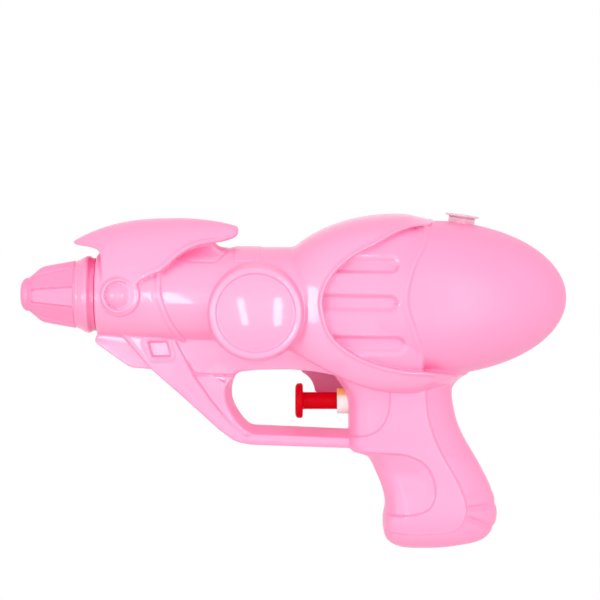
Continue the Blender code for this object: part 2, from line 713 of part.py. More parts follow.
def tube(name, route, material):
    """Hose along a route in the parting plane, with its bore."""
    points = [Vector((x, 0.0, z)) for x, z in route]
    side = Vector((0, 1, 0))
    angles = [2 * math.pi * k / HOSE_SIDES for k in range(HOSE_SIDES)]
    outer, inner = [], []
    for i, point in enumerate(points):
        ahead = (points[min(i + 1, len(points) - 1)] - points[max(i - 1, 0)]).normalized()
        across = side.cross(ahead)
        for rings, radius in ((outer, TUBE_RADIUS), (inner, TUBE_BORE)):
            rings.append([point + radius * (math.cos(a) * side + math.sin(a) * across) for a in angles])
    dress(material, skin(name, outer + inner[::-1], closed=True))


SUCTION_ROUTE = [
    (PORT_X, 35.8), (PORT_X, 31.0), (PORT_X + 0.6, 23.0), (PORT_X + 2.6, 13.0), (PORT_X + 4.6, 4.4),
]
DELIVERY_ROUTE = [
    (PORT_X, 56.2), (PORT_X, 61.0), (42.4, 67.0), (39.8, 73.5), (34.5, 79.5), (26.5, 83.6), (17.0, 85.0),
    (5.0, AXIS_Z), (-25.0, AXIS_Z), (-52.0, AXIS_Z), (-58.8, AXIS_Z),
]


def build_tubes(vinyl):
    """Suction tube down the grip and delivery tube through the tank to the nozzle."""
    tube("suction_tube", curve_through(SUCTION_ROUTE, 3), vinyl)
    tube("delivery_tube", curve_through(DELIVERY_ROUTE, 2), vinyl)


def build_filler(soft):
    """Soft neck in the tank's top and the plug pushed into it, which lifts out along its axis."""
    axis = anchor("filler_axis", *filler_point(), FILLER_TILT)
    neck = turned("filler_neck", [
        (-3.4, NECK_BORE), (-3.4, 3.5), (0.45, 3.5), (0.45, 4.35), (1.5, 4.35), (1.5, NECK_BORE),
    ], "Z", closed=True, segments=FINE)
    plug = turned("filler_plug", [
        (-3.6, 0), (-3.6, PLUG_STEM - 0.45), (-3.0, PLUG_STEM), (1.8, PLUG_STEM), (1.8, PLUG_RADIUS - 0.3),
        (2.1, PLUG_RADIUS), (2.6, PLUG_RADIUS), (2.9, PLUG_RADIUS - 0.4), (2.9, 3.6), (2.4, 3.0), (2.4, 0),
    ], "Z", segments=FINE)
    for item in (neck, plug):
        place(item, parent=axis)
    dress(soft, neck, plug)


def main():
    """Model the squirter."""
    clear_scene()
    pink = plastic("pink_styrene", (0.94, 0.36, 0.58), 0.25)
    red = plastic("red_acetal", (0.60, 0.005, 0.012), 0.3)
    amber = plastic("amber_polyethylene", (0.95, 0.42, 0.08), 0.4, transmission=0.3)
    milky = plastic("milky_polypropylene", (0.85, 0.84, 0.80), 0.4)
    soft = plastic("clear_soft_vinyl", (0.92, 0.78, 0.83), 0.3, transmission=0.5)
    vinyl = plastic("clear_hose_vinyl", (0.88, 0.86, 0.78), 0.25, transmission=0.5)
    rubber = plastic("black_rubber", (0.03, 0.03, 0.03), 0.7)
    steel = plastic("steel", (0.62, 0.61, 0.60), 0.3, metallic=1.0)
    build_shells(pink)
    build_nozzle(pink, rubber, milky, steel)
    build_pump(amber, milky, rubber, steel)
    build_trigger(red, milky, rubber)
    build_tubes(vinyl)
    build_filler(soft)


main()
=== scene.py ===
"""Looks of a toy water squirter in the shape of a ray gun.

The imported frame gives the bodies, joints and sizes. This script dresses them: the moulded half
shells and the nozzle cap are written as distance fields and meshed finely, turned pieces are spun
from rounded profiles, and every piece gets the finish of its real material.
"""

import logging
import math
from dataclasses import dataclass
from enum import Enum
from itertools import product
from typing import Callable, Sequence

import bpy
import numpy as np
from mathutils import Matrix, Quaternion, Vector


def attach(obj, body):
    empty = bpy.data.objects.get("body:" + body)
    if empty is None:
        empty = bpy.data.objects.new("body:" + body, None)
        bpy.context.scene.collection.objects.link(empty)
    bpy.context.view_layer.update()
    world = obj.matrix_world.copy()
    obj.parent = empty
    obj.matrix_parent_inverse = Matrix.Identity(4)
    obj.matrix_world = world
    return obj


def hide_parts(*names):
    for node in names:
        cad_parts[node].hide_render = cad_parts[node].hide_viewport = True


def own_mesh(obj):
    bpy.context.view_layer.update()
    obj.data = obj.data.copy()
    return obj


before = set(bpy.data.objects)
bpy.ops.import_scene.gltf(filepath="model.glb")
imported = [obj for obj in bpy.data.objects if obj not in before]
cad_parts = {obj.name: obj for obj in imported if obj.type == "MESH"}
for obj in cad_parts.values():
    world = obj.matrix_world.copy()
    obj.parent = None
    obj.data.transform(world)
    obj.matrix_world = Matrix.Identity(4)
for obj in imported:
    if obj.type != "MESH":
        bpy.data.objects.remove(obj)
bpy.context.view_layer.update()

log = logging.getLogger("squirter")

Point = tuple[float, float]
Triple = tuple[float, float, float]
Outline = Sequence[Point]
Field = Callable[[np.ndarray, np.ndarray, np.ndarray], np.ndarray]

# Sizes are in millimetres, and MM turns them to metres as a mesh is stored.
MM = 0.001
# Gap between the half shells.
GAP = 0.3
# A point that is outside the toy in any direction, for outlines that run off its edge.
FAR = 200.0
# Sides that meet at more than this keep a sharp edge between them.
SHARP = math.radians(50.0)
# The most of a side that the curve of one of its corners takes up.
CORNER_SHARE = 0.45
# Points nearer to a field's surface than this are shaded by its slope.
ON_SURFACE = 0.02
# Name of the mesh layer that says how satin a surface is.
SATIN = "satin"


class Slot(Enum):
    """Material slots of the record."""

    PINK = "shell_pink"
    RED = "trigger_red"
    AMBER = "gland_amber"
    MILKY = "milky_plastic"
    CLEAR = "clear_vinyl"
    HOSE = "hose_vinyl"
    RUBBER = "black_rubber"
    STEEL = "steel"


class Look(Enum):
    """Finishes that pieces can have."""

    SHELL = 1
    CAP = 2
    RED = 3
    AMBER = 4
    MILKY = 5
    CLEAR = 6
    HOSE = 7
    RUBBER = 8
    STEEL = 9


class Body(Enum):
    """Bodies of the frame that the new pieces ride on."""

    SHELL = "body"
    TRIGGER = "trigger"
    PLUG = "plug"


class Axis(Enum):
    """Axes along which a band of painted light or shade can start."""

    X = "X"
    Z = "Z"


class Operation(Enum):
    """What one solid does to another."""

    UNION = "UNION"
    DIFFERENCE = "DIFFERENCE"


# Curves, outlines and fields


def smooth_curve(points: Outline, steps: int = 5) -> list[Point]:
    """Draw an open curve through points.

    Args:
        points: Points that the curve passes through.
        steps: Straight pieces between neighbouring points.

    Returns:
        The points of the curve.
    """
    ends = np.array([points[0], *points, points[-1]], float)
    out = []
    for a, b, c, d in zip(ends, ends[1:], ends[2:], ends[3:]):
        for t in np.arange(steps) / steps:
            out.append(tuple(0.5 * (2 * b + (c - a) * t + (2 * a - 5 * b + 4 * c - d) * t * t
                                    + (3 * b - a - 3 * c + d) * t ** 3)))
    out.append(tuple(ends[-1]))
    return out


def rounded(points: Outline, radius: float, steps: int = 4, closed: bool = False) -> list[Point]:
    """Round the corners of a line of points.

    Args:
        points: Corners in order.
        radius: Distance from a corner at which its curve starts, if the sides are long enough.
        steps: Straight pieces in each corner's curve.
        closed: Whether the last point joins the first.

    Returns:
        The points of the rounded line.
    """
    line = [Vector(p) for p in points]
    out = [] if closed else [tuple(line[0])]
    corners = range(len(line)) if closed else range(1, len(line) - 1)
    for i in corners:
        before, corner, after = line[i - 1], line[i], line[(i + 1) % len(line)]
        back, ahead = before - corner, after - corner
        start = corner + back.normalized() * min(radius, CORNER_SHARE * back.length)
        end = corner + ahead.normalized() * min(radius, CORNER_SHARE * ahead.length)
        for k in range(steps + 1):
            t = k / steps
            out.append(tuple(start * (1 - t) ** 2 + corner * 2 * t * (1 - t) + end * t * t))
    return out if closed else out + [tuple(line[-1])]


def outline_distance(outline: Outline, x: np.ndarray, z: np.ndarray) -> np.ndarray:
    """Measure the distance to a closed outline, negative inside it.

    Args:
        outline: Corners in X and Z.
        x: X of the points measured.
        z: Z of the points measured.

    Returns:
        Signed distances, in the shape that x and z give together.
    """
    shape = np.broadcast(x, z).shape
    nearest = np.full(shape, np.inf, np.float32)
    inside = np.zeros(shape, bool)
    for (ax, az), (bx, bz) in zip(outline, [*outline[1:], outline[0]]):
        ex, ez = bx - ax, bz - az
        wx, wz = x - ax, z - az
        along = np.clip((wx * ex + wz * ez) / max(ex * ex + ez * ez, 1e-9), 0.0, 1.0)
        nearest = np.minimum(nearest, (wx - along * ex) ** 2 + (wz - along * ez) ** 2)
        if ez:
            inside ^= ((az > z) != (bz > z)) & (wx < ex / ez * wz)
    return np.where(inside, -1.0, 1.0) * np.sqrt(nearest)


class Region:
    """Distance to a closed outline in X and Z, read from a map that is worked out once."""

    low: Point = (-96.0, -8.0)
    high: Point = (97.0, 118.0)
    step: float = 0.3

    def __init__(self, outline: Outline) -> None:
        """Work out the map of an outline."""
        x, z = (np.arange(a, b, self.step, dtype=np.float32) for a, b in zip(self.low, self.high))
        self.map = outline_distance(outline, x[:, None], z[None, :]).astype(np.float32)

    def __call__(self, x: np.ndarray, z: np.ndarray) -> np.ndarray:
        """Measure the distance, negative inside.

        Args:
            x: X of the points.
            z: Z of the points.

        Returns:
            Distances, in the shape that x and z give together.
        """
        u = np.clip((x - self.low[0]) / self.step, 0.0, self.map.shape[0] - 1.01)
        v = np.clip((z - self.low[1]) / self.step, 0.0, self.map.shape[1] - 1.01)
        i, j = u.astype(np.int32), v.astype(np.int32)
        u, v = u - i, v - j
        near = self.map[i, j] * (1.0 - v) + self.map[i, j + 1] * v
        far = self.map[i + 1, j] * (1.0 - v) + self.map[i + 1, j + 1] * v
        return near * (1.0 - u) + far * u


def soft_join(a: np.ndarray, b: np.ndarray, fillet: float) -> np.ndarray:
    """Unite two fields with a fillet where they meet."""
    share = np.clip(0.5 + 0.5 * (b - a) / fillet, 0.0, 1.0)
    return b + (a - b) * share - fillet * share * (1.0 - share)


def soft_meet(a: np.ndarray, b: np.ndarray, rounding: float) -> np.ndarray:
    """Keep what two fields share, with the edge between them rounded."""
    return -soft_join(-a, -b, rounding)


def rise(distance: np.ndarray, width: float) -> np.ndarray:
    """Go smoothly from 0 to 1 across a wall of the given width, centred on distance 0."""
    t = np.clip(distance / width + 0.5, 0.0, 1.0)
    return t * t * (3.0 - 2.0 * t)


def sunk(distance: np.ndarray, depth: float, wall: float) -> np.ndarray:
    """Give what to add to a field to sink the region of negative distance by a depth."""
    return depth * (1.0 - rise(distance, wall))


def bead(distance: np.ndarray, height: float, width: float) -> np.ndarray:
    """Give what to add to a field to raise a round bead along distance 0."""
    return -height * np.exp(-(distance / (0.5 * width)) ** 2)


@dataclass(frozen=True)
class Ramp:
    """Smooth change from 0 to 1 as a measure passes a place; a negative width turns it round."""

    at: float
    width: float

    def __call__(self, measure: np.ndarray) -> np.ndarray:
        """Give the change at a measure."""
        return rise(measure - self.at, self.width)


@dataclass(frozen=True)
class Bead:
    """Round bead at a distance from a line; a negative height makes it a groove."""

    at: float
    height: float
    width: float

    def __call__(self, distance: np.ndarray) -> np.ndarray:
        """Give what to add to a field to raise the bead."""
        return bead(distance - self.at, self.height, self.width)


def egg(x: np.ndarray, y: np.ndarray, z: np.ndarray, centre: Point, reach: Point, heights: Point,
        width: float, power: float) -> np.ndarray:
    """Measure the distance to an egg whose cross-section is a rounded oval.

    Args:
        x: X of the points.
        y: Distance of the points from the parting plane.
        z: Z of the points.
        centre: X and Z of the middle.
        reach: Length towards -X and towards +X.
        heights: Height above and below the middle.
        width: Half width.
        power: Squareness of the cross-section; 2 is an ellipse.

    Returns:
        Distances, exact to first order near the surface.
    """
    length = np.where(x < centre[0], reach[0], reach[1])
    height = np.where(z > centre[1], heights[0], heights[1])
    u, v, w = (x - centre[0]) / length, np.abs(z - centre[1]) / height, np.abs(y) / width
    oval = np.maximum((v ** power + w ** power) ** (1.0 / power), 1e-3)
    size = np.sqrt(oval ** 2 + u ** 2)
    steepness = np.sqrt((v ** (power - 1) / height) ** 2 + (w ** (power - 1) / width) ** 2)
    section = oval ** (1.0 - power) * steepness
    slope = np.sqrt((u / length) ** 2 + (oval * section) ** 2) / size
    return (size - 1.0) / slope


# Meshes


class FieldMesher:
    """Turns a distance field into an even mesh whose points lie on its surface.

    Slopes are measured over the reach, and their squares are taken to be no less than the least slope. The
    stride is the most that a point settles at a time, in steps of the mesh, and the ease is how far it moves
    towards the middle of its neighbours.
    """

    reach: float = 0.05
    least_slope: float = 0.05
    stride: float = 0.6
    ease: float = 0.5

    def __init__(self, step: float) -> None:
        """Keep the mesh's spacing in millimetres."""
        self.step = step

    def slope(self, field: Field, points: np.ndarray) -> tuple[np.ndarray, np.ndarray]:
        """Measure a field and its slope at points.

        Args:
            field: The distance field.
            points: Points, one a row.

        Returns:
            The field's values and its slopes.
        """
        value = field(*points.T)
        slopes = [(field(*(points + shift).T) - value) / self.reach for shift in np.eye(3) * self.reach]
        return value, np.stack(slopes, 1)

    def settle(self, field: Field, points: np.ndarray) -> np.ndarray:
        """Move points onto the field's surface.

        Args:
            field: The distance field.
            points: Points near the surface, one a row.

        Returns:
            The moved points, none by more than a share of the mesh's spacing.
        """
        value, slopes = self.slope(field, points)
        steps = value / np.maximum((slopes ** 2).sum(1), self.least_slope)
        limit = self.stride * self.step
        return points - np.clip(steps, -limit, limit)[:, None] * slopes

    def relax(self, field: Field, points: np.ndarray, quads: np.ndarray) -> np.ndarray:
        """Even out the mesh along its surface.

        Args:
            field: The distance field.
            points: Points of the mesh, one a row.
            quads: Corners of its faces.

        Returns:
            The points, moved along the surface towards the middle of their neighbours.
        """
        pairs = np.concatenate([quads[:, [k, (k + 1) % 4]] for k in range(4)])
        pairs = np.concatenate([pairs, pairs[:, ::-1]])
        count = np.bincount(pairs[:, 0], minlength=len(points))
        middle = np.stack([np.bincount(pairs[:, 0], points[pairs[:, 1], axis], len(points)) / count
                           for axis in range(3)], 1)
        slopes = self.slope(field, points)[1]
        normals = slopes / np.maximum(np.linalg.norm(slopes, axis=1, keepdims=True), 1e-6)
        shift = self.ease * (middle - points)
        return points + shift - (shift * normals).sum(1, keepdims=True) * normals

    def mesh(self, field: Field, low: Sequence[float], high: Sequence[float],
             rounds: int = 2) -> tuple[np.ndarray, np.ndarray]:
        """Mesh the surface of a field inside a box.

        Args:
            field: The distance field.
            low: Lowest corner of the box.
            high: Highest corner of the box.
            rounds: How often the mesh is evened out.

        Returns:
            The points in millimetres and the quads that join them.
        """
        axes = [np.arange(a, b + self.step, self.step, dtype=np.float32) for a, b in zip(low, high)]
        value = field(axes[0][:, None, None], axes[1][None, :, None], axes[2][None, None, :])
        inside = value < 0.0
        size = np.array(inside.shape)
        filled = sum(inside[tuple(slice(d, n - 1 + d) for d, n in zip(corner, size))].astype(np.int8)
                     for corner in product((0, 1), repeat=3))
        crossed = (filled > 0) & (filled < 8)
        cells = np.argwhere(crossed)
        number = np.full(crossed.shape, -1, np.int32)
        number[crossed] = np.arange(len(cells))
        total, hits = np.zeros((len(cells), 3)), np.zeros(len(cells))
        quads = []
        for axis in range(3):
            one, two = (axis + 1) % 3, (axis + 2) % 3
            ahead, first, second = (np.eye(3, dtype=int)[k] for k in (axis, one, two))
            for u, v in product((0, 1), repeat=2):
                start = u * first + v * second
                a, b = value[tuple((cells + start).T)], value[tuple((cells + start + ahead).T)]
                cut = (a < 0.0) != (b < 0.0)
                share = np.where(cut, a / np.where(cut, a - b, 1.0), 0.0)
                total += cut[:, None] * (start + share[:, None] * ahead)
                hits += cut
            lower = inside[tuple(slice(0, -1) if k == axis else slice(1, -1) for k in range(3))]
            upper = inside[tuple(slice(1, None) if k == axis else slice(1, -1) for k in range(3))]
            edges = np.argwhere(lower != upper) + first + second
            around = (-first - second, -second, 0 * first, -first)
            rings = np.stack([number[tuple((edges + cell).T)] for cell in around], 1)
            outward = inside[tuple(edges.T)]
            quads.append(np.where(outward[:, None], rings, rings[:, ::-1]))
        quads = np.concatenate(quads)
        points = (cells + total / hits[:, None]) * self.step + np.array(low)
        points = self.settle(field, points)
        for _ in range(rounds):
            points = self.settle(field, self.relax(field, points, quads))
        return self.settle(field, points), quads


def shade_by_field(mesh: bpy.types.Mesh, field: Field, mesher: FieldMesher, side: int = 1) -> np.ndarray:
    """Shade a mesh by a field's own slope wherever its points lie on the field's surface.

    Args:
        mesh: The mesh, in metres.
        field: The distance field that it was made from.
        mesher: The mesher that measures the slope.
        side: -1 if the mesh is the field's mirror image in Y.

    Returns:
        The mesh's points as the field has them, in millimetres.
    """
    flip = np.array([1.0, side, 1.0])
    points = np.empty(len(mesh.vertices) * 3)
    mesh.vertices.foreach_get("co", points)
    points = points.reshape(-1, 3) / MM * flip
    value, slopes = mesher.slope(field, points)
    normals = slopes / np.maximum(np.linalg.norm(slopes, axis=1, keepdims=True), 1e-6) * flip
    corners = np.empty(len(mesh.loops), int)
    mesh.loops.foreach_get("vertex_index", corners)
    counts = np.empty(len(mesh.polygons), int)
    mesh.polygons.foreach_get("loop_total", counts)
    cut = np.add.reduceat((np.abs(value) > ON_SURFACE)[corners], np.cumsum(counts) - counts) > 0
    split = normals[corners]
    split[np.repeat(cut, counts)] = 0.0
    mesh.normals_split_custom_set(split.tolist())
    return points


def mark_satin(mesh: bpy.types.Mesh, share: np.ndarray) -> None:
    """Store how satin a mesh is at each point, from 0 for polished to 1."""
    layer = mesh.attributes.new(SATIN, "FLOAT", "POINT")
    layer.data.foreach_set("value", share.astype(np.float32))


def store(name: str, points: np.ndarray, faces: np.ndarray | list) -> bpy.types.Object:
    """Make a smooth-shaded object.

    Args:
        name: Name of the piece.
        points: Points in millimetres.
        faces: Corners of each face.

    Returns:
        The new object, in metres.
    """
    mesh = bpy.data.meshes.new(name)
    corners = faces.tolist() if isinstance(faces, np.ndarray) else faces
    mesh.from_pydata((np.asarray(points) * MM).tolist(), [], corners)
    mesh.validate()
    mesh.shade_smooth()
    item = bpy.data.objects.new(name, mesh)
    bpy.context.scene.collection.objects.link(item)
    return item


def boolean(item: bpy.types.Object, tool: bpy.types.Object, operation: Operation) -> None:
    """Join or cut an object with another one, which is used up.

    Args:
        item: The object that is changed.
        tool: The other object.
        operation: Whether it is joined or cut.
    """
    change = item.modifiers.new("change", "BOOLEAN")
    change.operation = operation.value
    change.solver = "MANIFOLD"
    change.object = tool
    bpy.context.view_layer.update()
    graph = bpy.context.evaluated_depsgraph_get()
    mesh = bpy.data.meshes.new_from_object(item.evaluated_get(graph))
    item.modifiers.clear()
    item.data = mesh
    bpy.data.objects.remove(tool, do_unlink=True)


def turned(name: str, profile: Outline, origin: Sequence[float], axis: Sequence[float],
           segments: int = 96, closed: bool = False) -> bpy.types.Object:
    """Spin a profile of distances along and out from an axis.

    Args:
        name: Name of the piece.
        profile: Pairs of distance along the axis and radius; an open one starts and ends on the axis.
        origin: Point on the axis where the distance along it is 0.
        axis: Direction of the axis.
        segments: Facets round the piece.
        closed: Whether the profile is a ring, which leaves a bore.

    Returns:
        The new object, with its faces pointing out where the profile runs clockwise.
    """
    along = Vector(axis).normalized()
    out = along.orthogonal().normalized()
    side = along.cross(out)
    base = Vector(origin)
    angles = [2 * math.pi * k / segments for k in range(segments)]
    points: list[Vector] = []
    rings: list[list[int]] = []
    for distance, radius in profile:
        start = len(points)
        if radius < 1e-6:
            points.append(base + along * distance)
            rings.append([start] * segments)
            continue
        middle = base + along * distance
        points += [middle + (out * math.cos(a) + side * math.sin(a)) * radius for a in angles]
        rings.append(list(range(start, start + segments)))
    faces = []
    pairs = list(zip(rings, rings[1:])) + ([(rings[-1], rings[0])] if closed else [])
    for one, two in pairs:
        for k in range(segments):
            j = (k + 1) % segments
            corners = list(dict.fromkeys((one[k], two[k], two[j], one[j])))
            if len(corners) > 2:
                faces.append(corners)
    item = store(name, np.array([tuple(p) for p in points]), faces)
    item.data.set_sharp_from_angle(angle=SHARP)
    return item


def sweep(name: str, route: Sequence[Vector], radius: float, sides: int = 12) -> bpy.types.Object:
    """Run a round wire along a route, with its ends closed.

    Args:
        name: Name of the piece.
        route: Points along the middle of the wire.
        radius: Radius of the wire.
        sides: Facets round it.

    Returns:
        The new object.
    """
    points, rings = [], []
    across = (route[1] - route[0]).orthogonal().normalized()
    for i, middle in enumerate(route):
        ahead = (route[min(i + 1, len(route) - 1)] - route[max(i - 1, 0)]).normalized()
        across = (across - ahead * across.dot(ahead)).normalized()
        side = ahead.cross(across)
        rings.append(list(range(len(points), len(points) + sides)))
        for k in range(sides):
            angle = 2 * math.pi * k / sides
            points.append(tuple(middle + radius * (across * math.cos(angle) + side * math.sin(angle))))
    faces = [[a[k], a[(k + 1) % sides], b[(k + 1) % sides], b[k]] for a, b in zip(rings, rings[1:])
             for k in range(sides)]
    return store(name, np.array(points), faces + [rings[0][::-1], rings[-1]])


def round_bar(name: str, ends: Point, radius: float, origin: Sequence[float],
              axis: Sequence[float] = (1, 0, 0)) -> bpy.types.Object:
    """Make a plain round bar, such as the drill for a hole.

    Args:
        name: Name of the piece.
        ends: Where it starts and ends along its axis.
        radius: Its radius.
        origin: Point on the axis where the distance along it is 0.
        axis: Direction of the axis.

    Returns:
        The new object.
    """
    start, end = ends
    return turned(name, [(start, 0.0), (start, radius), (end, radius), (end, 0.0)], origin, axis)


# Finishes


def linear(colour: str) -> tuple[float, float, float, float]:
    """Turn an sRGB hex colour into linear red, green, blue and alpha."""
    parts = [int(colour[k:k + 2], 16) / 255.0 for k in (1, 3, 5)]
    return (*(p / 12.92 if p <= 0.04045 else ((p + 0.055) / 1.055) ** 2.4 for p in parts), 1.0)


def add_node(tree: bpy.types.NodeTree, kind: str, settings: dict | None = None,
             links: dict | None = None) -> bpy.types.Node:
    """Add a node to a tree.

    Args:
        tree: Tree that gets the node.
        kind: Blender's name of the node type.
        settings: Values for the node's own settings and for its inputs, by name or number.
        links: Output sockets to join to its inputs, by the inputs' names or numbers.

    Returns:
        The new node.
    """
    node = tree.nodes.new(kind)
    for key, value in (settings or {}).items():
        if isinstance(key, str) and hasattr(node, key):
            setattr(node, key, value)
        else:
            node.inputs[key].default_value = value
    for key, socket in (links or {}).items():
        tree.links.new(socket, node.inputs[key])
    return node


@dataclass(frozen=True)
class Finish:
    """Surface of one real material: colour, gloss, and the ripple and mottle that its making leaves.

    The ripple is a bump of a real size in millimetres, and the mottle a soft change of colour. A coat is
    the glossy skin that a polished mould leaves; it is missing, and a fine grain shows, where the mesh's
    satin layer says so. A crest paints a band of light or shade, starting at a height along one axis.

    A spark-eroded grain is really about 0.05 mm across, which wouldn't show, so it is drawn at 0.45 mm.
    """

    name: str
    slot: Slot
    colour: str
    mottle_colour: str
    roughness: float
    roughness_spread: float = 0.15
    ior: float = 1.5
    specular: float = 0.5
    metallic: float = 0.0
    transmission: float = 0.0
    subsurface: float = 0.0
    scatter: Triple = (1.0, 0.45, 0.6)
    scatter_mm: float = 1.2
    ripple_mm: float = 2.5
    ripple_height_mm: float = 0.004
    mottle_mm: float = 18.0
    coat: float = 0.0
    coat_roughness: float = 0.1
    grain_mm: float = 0.45
    grain_height_mm: float = 0.004
    # The crest is painted light or shade: a band of a second colour along one axis
    crest: str | None = None
    painted_band_axis: Axis = Axis.Z
    painted_band_mm: Point = (0.0, 1.0)

    def tint(self, tree: bpy.types.NodeTree, place: bpy.types.NodeSocket) -> bpy.types.NodeSocket:
        """Add the colour with its mottle and its crest, a band of painted light or shade.

        Args:
            tree: Tree that gets the nodes.
            place: Socket with the place on the piece.

        Returns:
            The colour's socket.
        """
        mottle = add_node(tree, "ShaderNodeTexNoise", {"Scale": 1.0 / (self.mottle_mm * MM), "Detail": 3.0},
                          {"Vector": place})
        colours = {"data_type": "RGBA", 6: linear(self.colour), 7: linear(self.mottle_colour)}
        tint = add_node(tree, "ShaderNodeMix", colours, {0: mottle.outputs[0]})
        if self.crest is None:
            return tint.outputs[2]
        height = add_node(tree, "ShaderNodeSeparateXYZ", None, {0: place}).outputs[self.painted_band_axis.value]
        start, end = self.painted_band_mm
        painted_band_share = add_node(tree, "ShaderNodeMapRange", {"From Min": start * MM, "From Max": end * MM},
                          {"Value": height})
        return add_node(tree, "ShaderNodeMix", {"data_type": "RGBA", 7: linear(self.crest)},
                        {0: painted_band_share.outputs[0], 6: tint.outputs[2]}).outputs[2]

    def material(self) -> bpy.types.Material:
        """Build the material's nodes.

        Returns:
            The material.
        """
        material = bpy.data.materials.new(self.name)
        material.use_nodes = True
        tree = material.node_tree
        shader = tree.nodes["Principled BSDF"]
        place = add_node(tree, "ShaderNodeTexCoord").outputs["Object"]
        tree.links.new(self.tint(tree, place), shader.inputs["Base Color"])
        ripple = add_node(tree, "ShaderNodeTexNoise", {"Scale": 1.0 / (self.ripple_mm * MM), "Detail": 2.0},
                          {"Vector": place})
        bump = add_node(tree, "ShaderNodeBump", {"Strength": 1.0, "Distance": self.ripple_height_mm * MM},
                        {"Height": ripple.outputs[0]})
        smooth, dull = (self.roughness * (1.0 + sign * self.roughness_spread) for sign in (-1, 1))
        rough = add_node(tree, "ShaderNodeMapRange", {"To Min": smooth, "To Max": dull},
                         {"Value": ripple.outputs[0]})
        if self.coat:
            layer = add_node(tree, "ShaderNodeAttribute", {"attribute_name": SATIN}).outputs["Fac"]
            skin = add_node(tree, "ShaderNodeMapRange", {"To Min": self.coat, "To Max": 0.0},
                            {"Value": layer})
            tree.links.new(skin.outputs[0], shader.inputs["Coat Weight"])
            tree.links.new(bump.outputs[0], shader.inputs["Coat Normal"])
            shader.inputs["Coat Roughness"].default_value = self.coat_roughness
            grain = add_node(tree, "ShaderNodeTexNoise", {"Scale": 1.0 / (self.grain_mm * MM), "Detail": 1.0},
                             {"Vector": place})
            spark = add_node(tree, "ShaderNodeMath", {"operation": "MULTIPLY"},
                             {0: grain.outputs[0], 1: layer})
            bump = add_node(tree, "ShaderNodeBump", {"Strength": 1.0, "Distance": self.grain_height_mm * MM},
                            {"Height": spark.outputs[0], "Normal": bump.outputs[0]})
        tree.links.new(rough.outputs[0], shader.inputs["Roughness"])
        tree.links.new(bump.outputs[0], shader.inputs["Normal"])
        shader.inputs["Metallic"].default_value = self.metallic
        shader.inputs["Transmission Weight"].default_value = self.transmission
        if not self.metallic:
            shader.inputs["IOR"].default_value = self.ior
            shader.inputs["Specular IOR Level"].default_value = self.specular
        if self.subsurface:
            shader.inputs["Subsurface Weight"].default_value = self.subsurface
            shader.inputs["Subsurface Radius"].default_value = self.scatter
            shader.inputs["Subsurface Scale"].default_value = self.scatter_mm * MM
        return material


class Finishes:
    """The finishes of the toy, one material for each look."""

    def __init__(self) -> None:
        """Build every material once."""
        self.kinds = {
            # Injection-moulded styrene: a hazy body under a glossy skin, with spark-eroded satin faces
            Look.SHELL: Finish("pink_moulded_styrene", Slot.PINK, "#FF99C6", "#FF95C3", 0.45, specular=0.7,
                               subsurface=0.04, coat=0.6),
            # The cap: a little deeper pink than the shells, with painted shade on the skirt behind its
            # flange, in the recess there
            Look.CAP: Finish("pink_moulded_styrene_cap", Slot.PINK, "#FF8FBE", "#FF8BBB", 0.45, specular=0.7,
                             subsurface=0.04, coat=0.6, crest="#F0609C", painted_band_axis=Axis.X,
                             painted_band_mm=(-68.1, -67.6)),
            # Injection-moulded acetal: dense red with a soft gloss
            Look.RED: Finish("red_moulded_acetal", Slot.RED, "#DC0219", "#D20117", 0.25, specular=0.03,
                             ripple_height_mm=0.006),
            # Moulded polyethylene: milky and bright, with painted amber light and shade along its upper side
            Look.AMBER: Finish("milky_polyethylene_painted_amber_light", Slot.AMBER, "#FFFDF8", "#FBF8F0", 0.4,
                               specular=0.3, subsurface=0.3, crest="#FFD07E", painted_band_mm=(51.3, 52.0)),
            # Natural polypropylene: milky, with a waxy gloss
            Look.MILKY: Finish("milky_moulded_polypropylene", Slot.MILKY, "#ECEBE6", "#E2E0D8", 0.38,
                               subsurface=0.15),
            # Soft plasticised vinyl: cloudy, with painted light: pinker low down, where the tank's pink shows
            # through, and paler above
            Look.CLEAR: Finish("clear_soft_vinyl", Slot.CLEAR, "#F3A3C2", "#EE9CBC", 0.3, ior=1.45,
                               transmission=0.15, subsurface=0.2, crest="#EFC6D4", painted_band_mm=(108.4, 110.6)),
            # Extruded vinyl hose: yellowish clear, with a faint ripple
            Look.HOSE: Finish("clear_extruded_vinyl", Slot.HOSE, "#F2EFDF", "#E9E5CF", 0.2, ior=1.53,
                              transmission=0.7),
            # Moulded nitrile rubber: black and matt
            Look.RUBBER: Finish("black_moulded_nitrile", Slot.RUBBER, "#242425", "#1D1D1E", 0.65,
                                ripple_height_mm=0.01),
            # Drawn stainless steel: bright grey, with a ripple that is coarser than real so that it shows
            Look.STEEL: Finish("drawn_stainless_steel", Slot.STEEL, "#CFCDCA", "#C4C2BF", 0.22, metallic=1.0,
                               ripple_mm=0.6, ripple_height_mm=0.002),
        }
        self.materials = {look: finish.material() for look, finish in self.kinds.items()}

    def dress(self, item: bpy.types.Object, look: Look) -> None:
        """Give a piece the material of a look."""
        item.data.materials.clear()
        item.data.materials.append(self.materials[look])

    def piece(self, item: bpy.types.Object, look: Look, body: Body, *nodes: str) -> None:
        """Dress a new piece, seat it on a body and let it stand for nodes.

        Args:
            item: The piece.
            look: Its finish.
            body: The body that it rides on.
            nodes: Nodes of the frame that it stands for.
        """
        self.dress(item, look)
        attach(item, body.value)
        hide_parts(*nodes)
        log.info("%s: %d faces", item.name, len(item.data.polygons))


# The moulded body


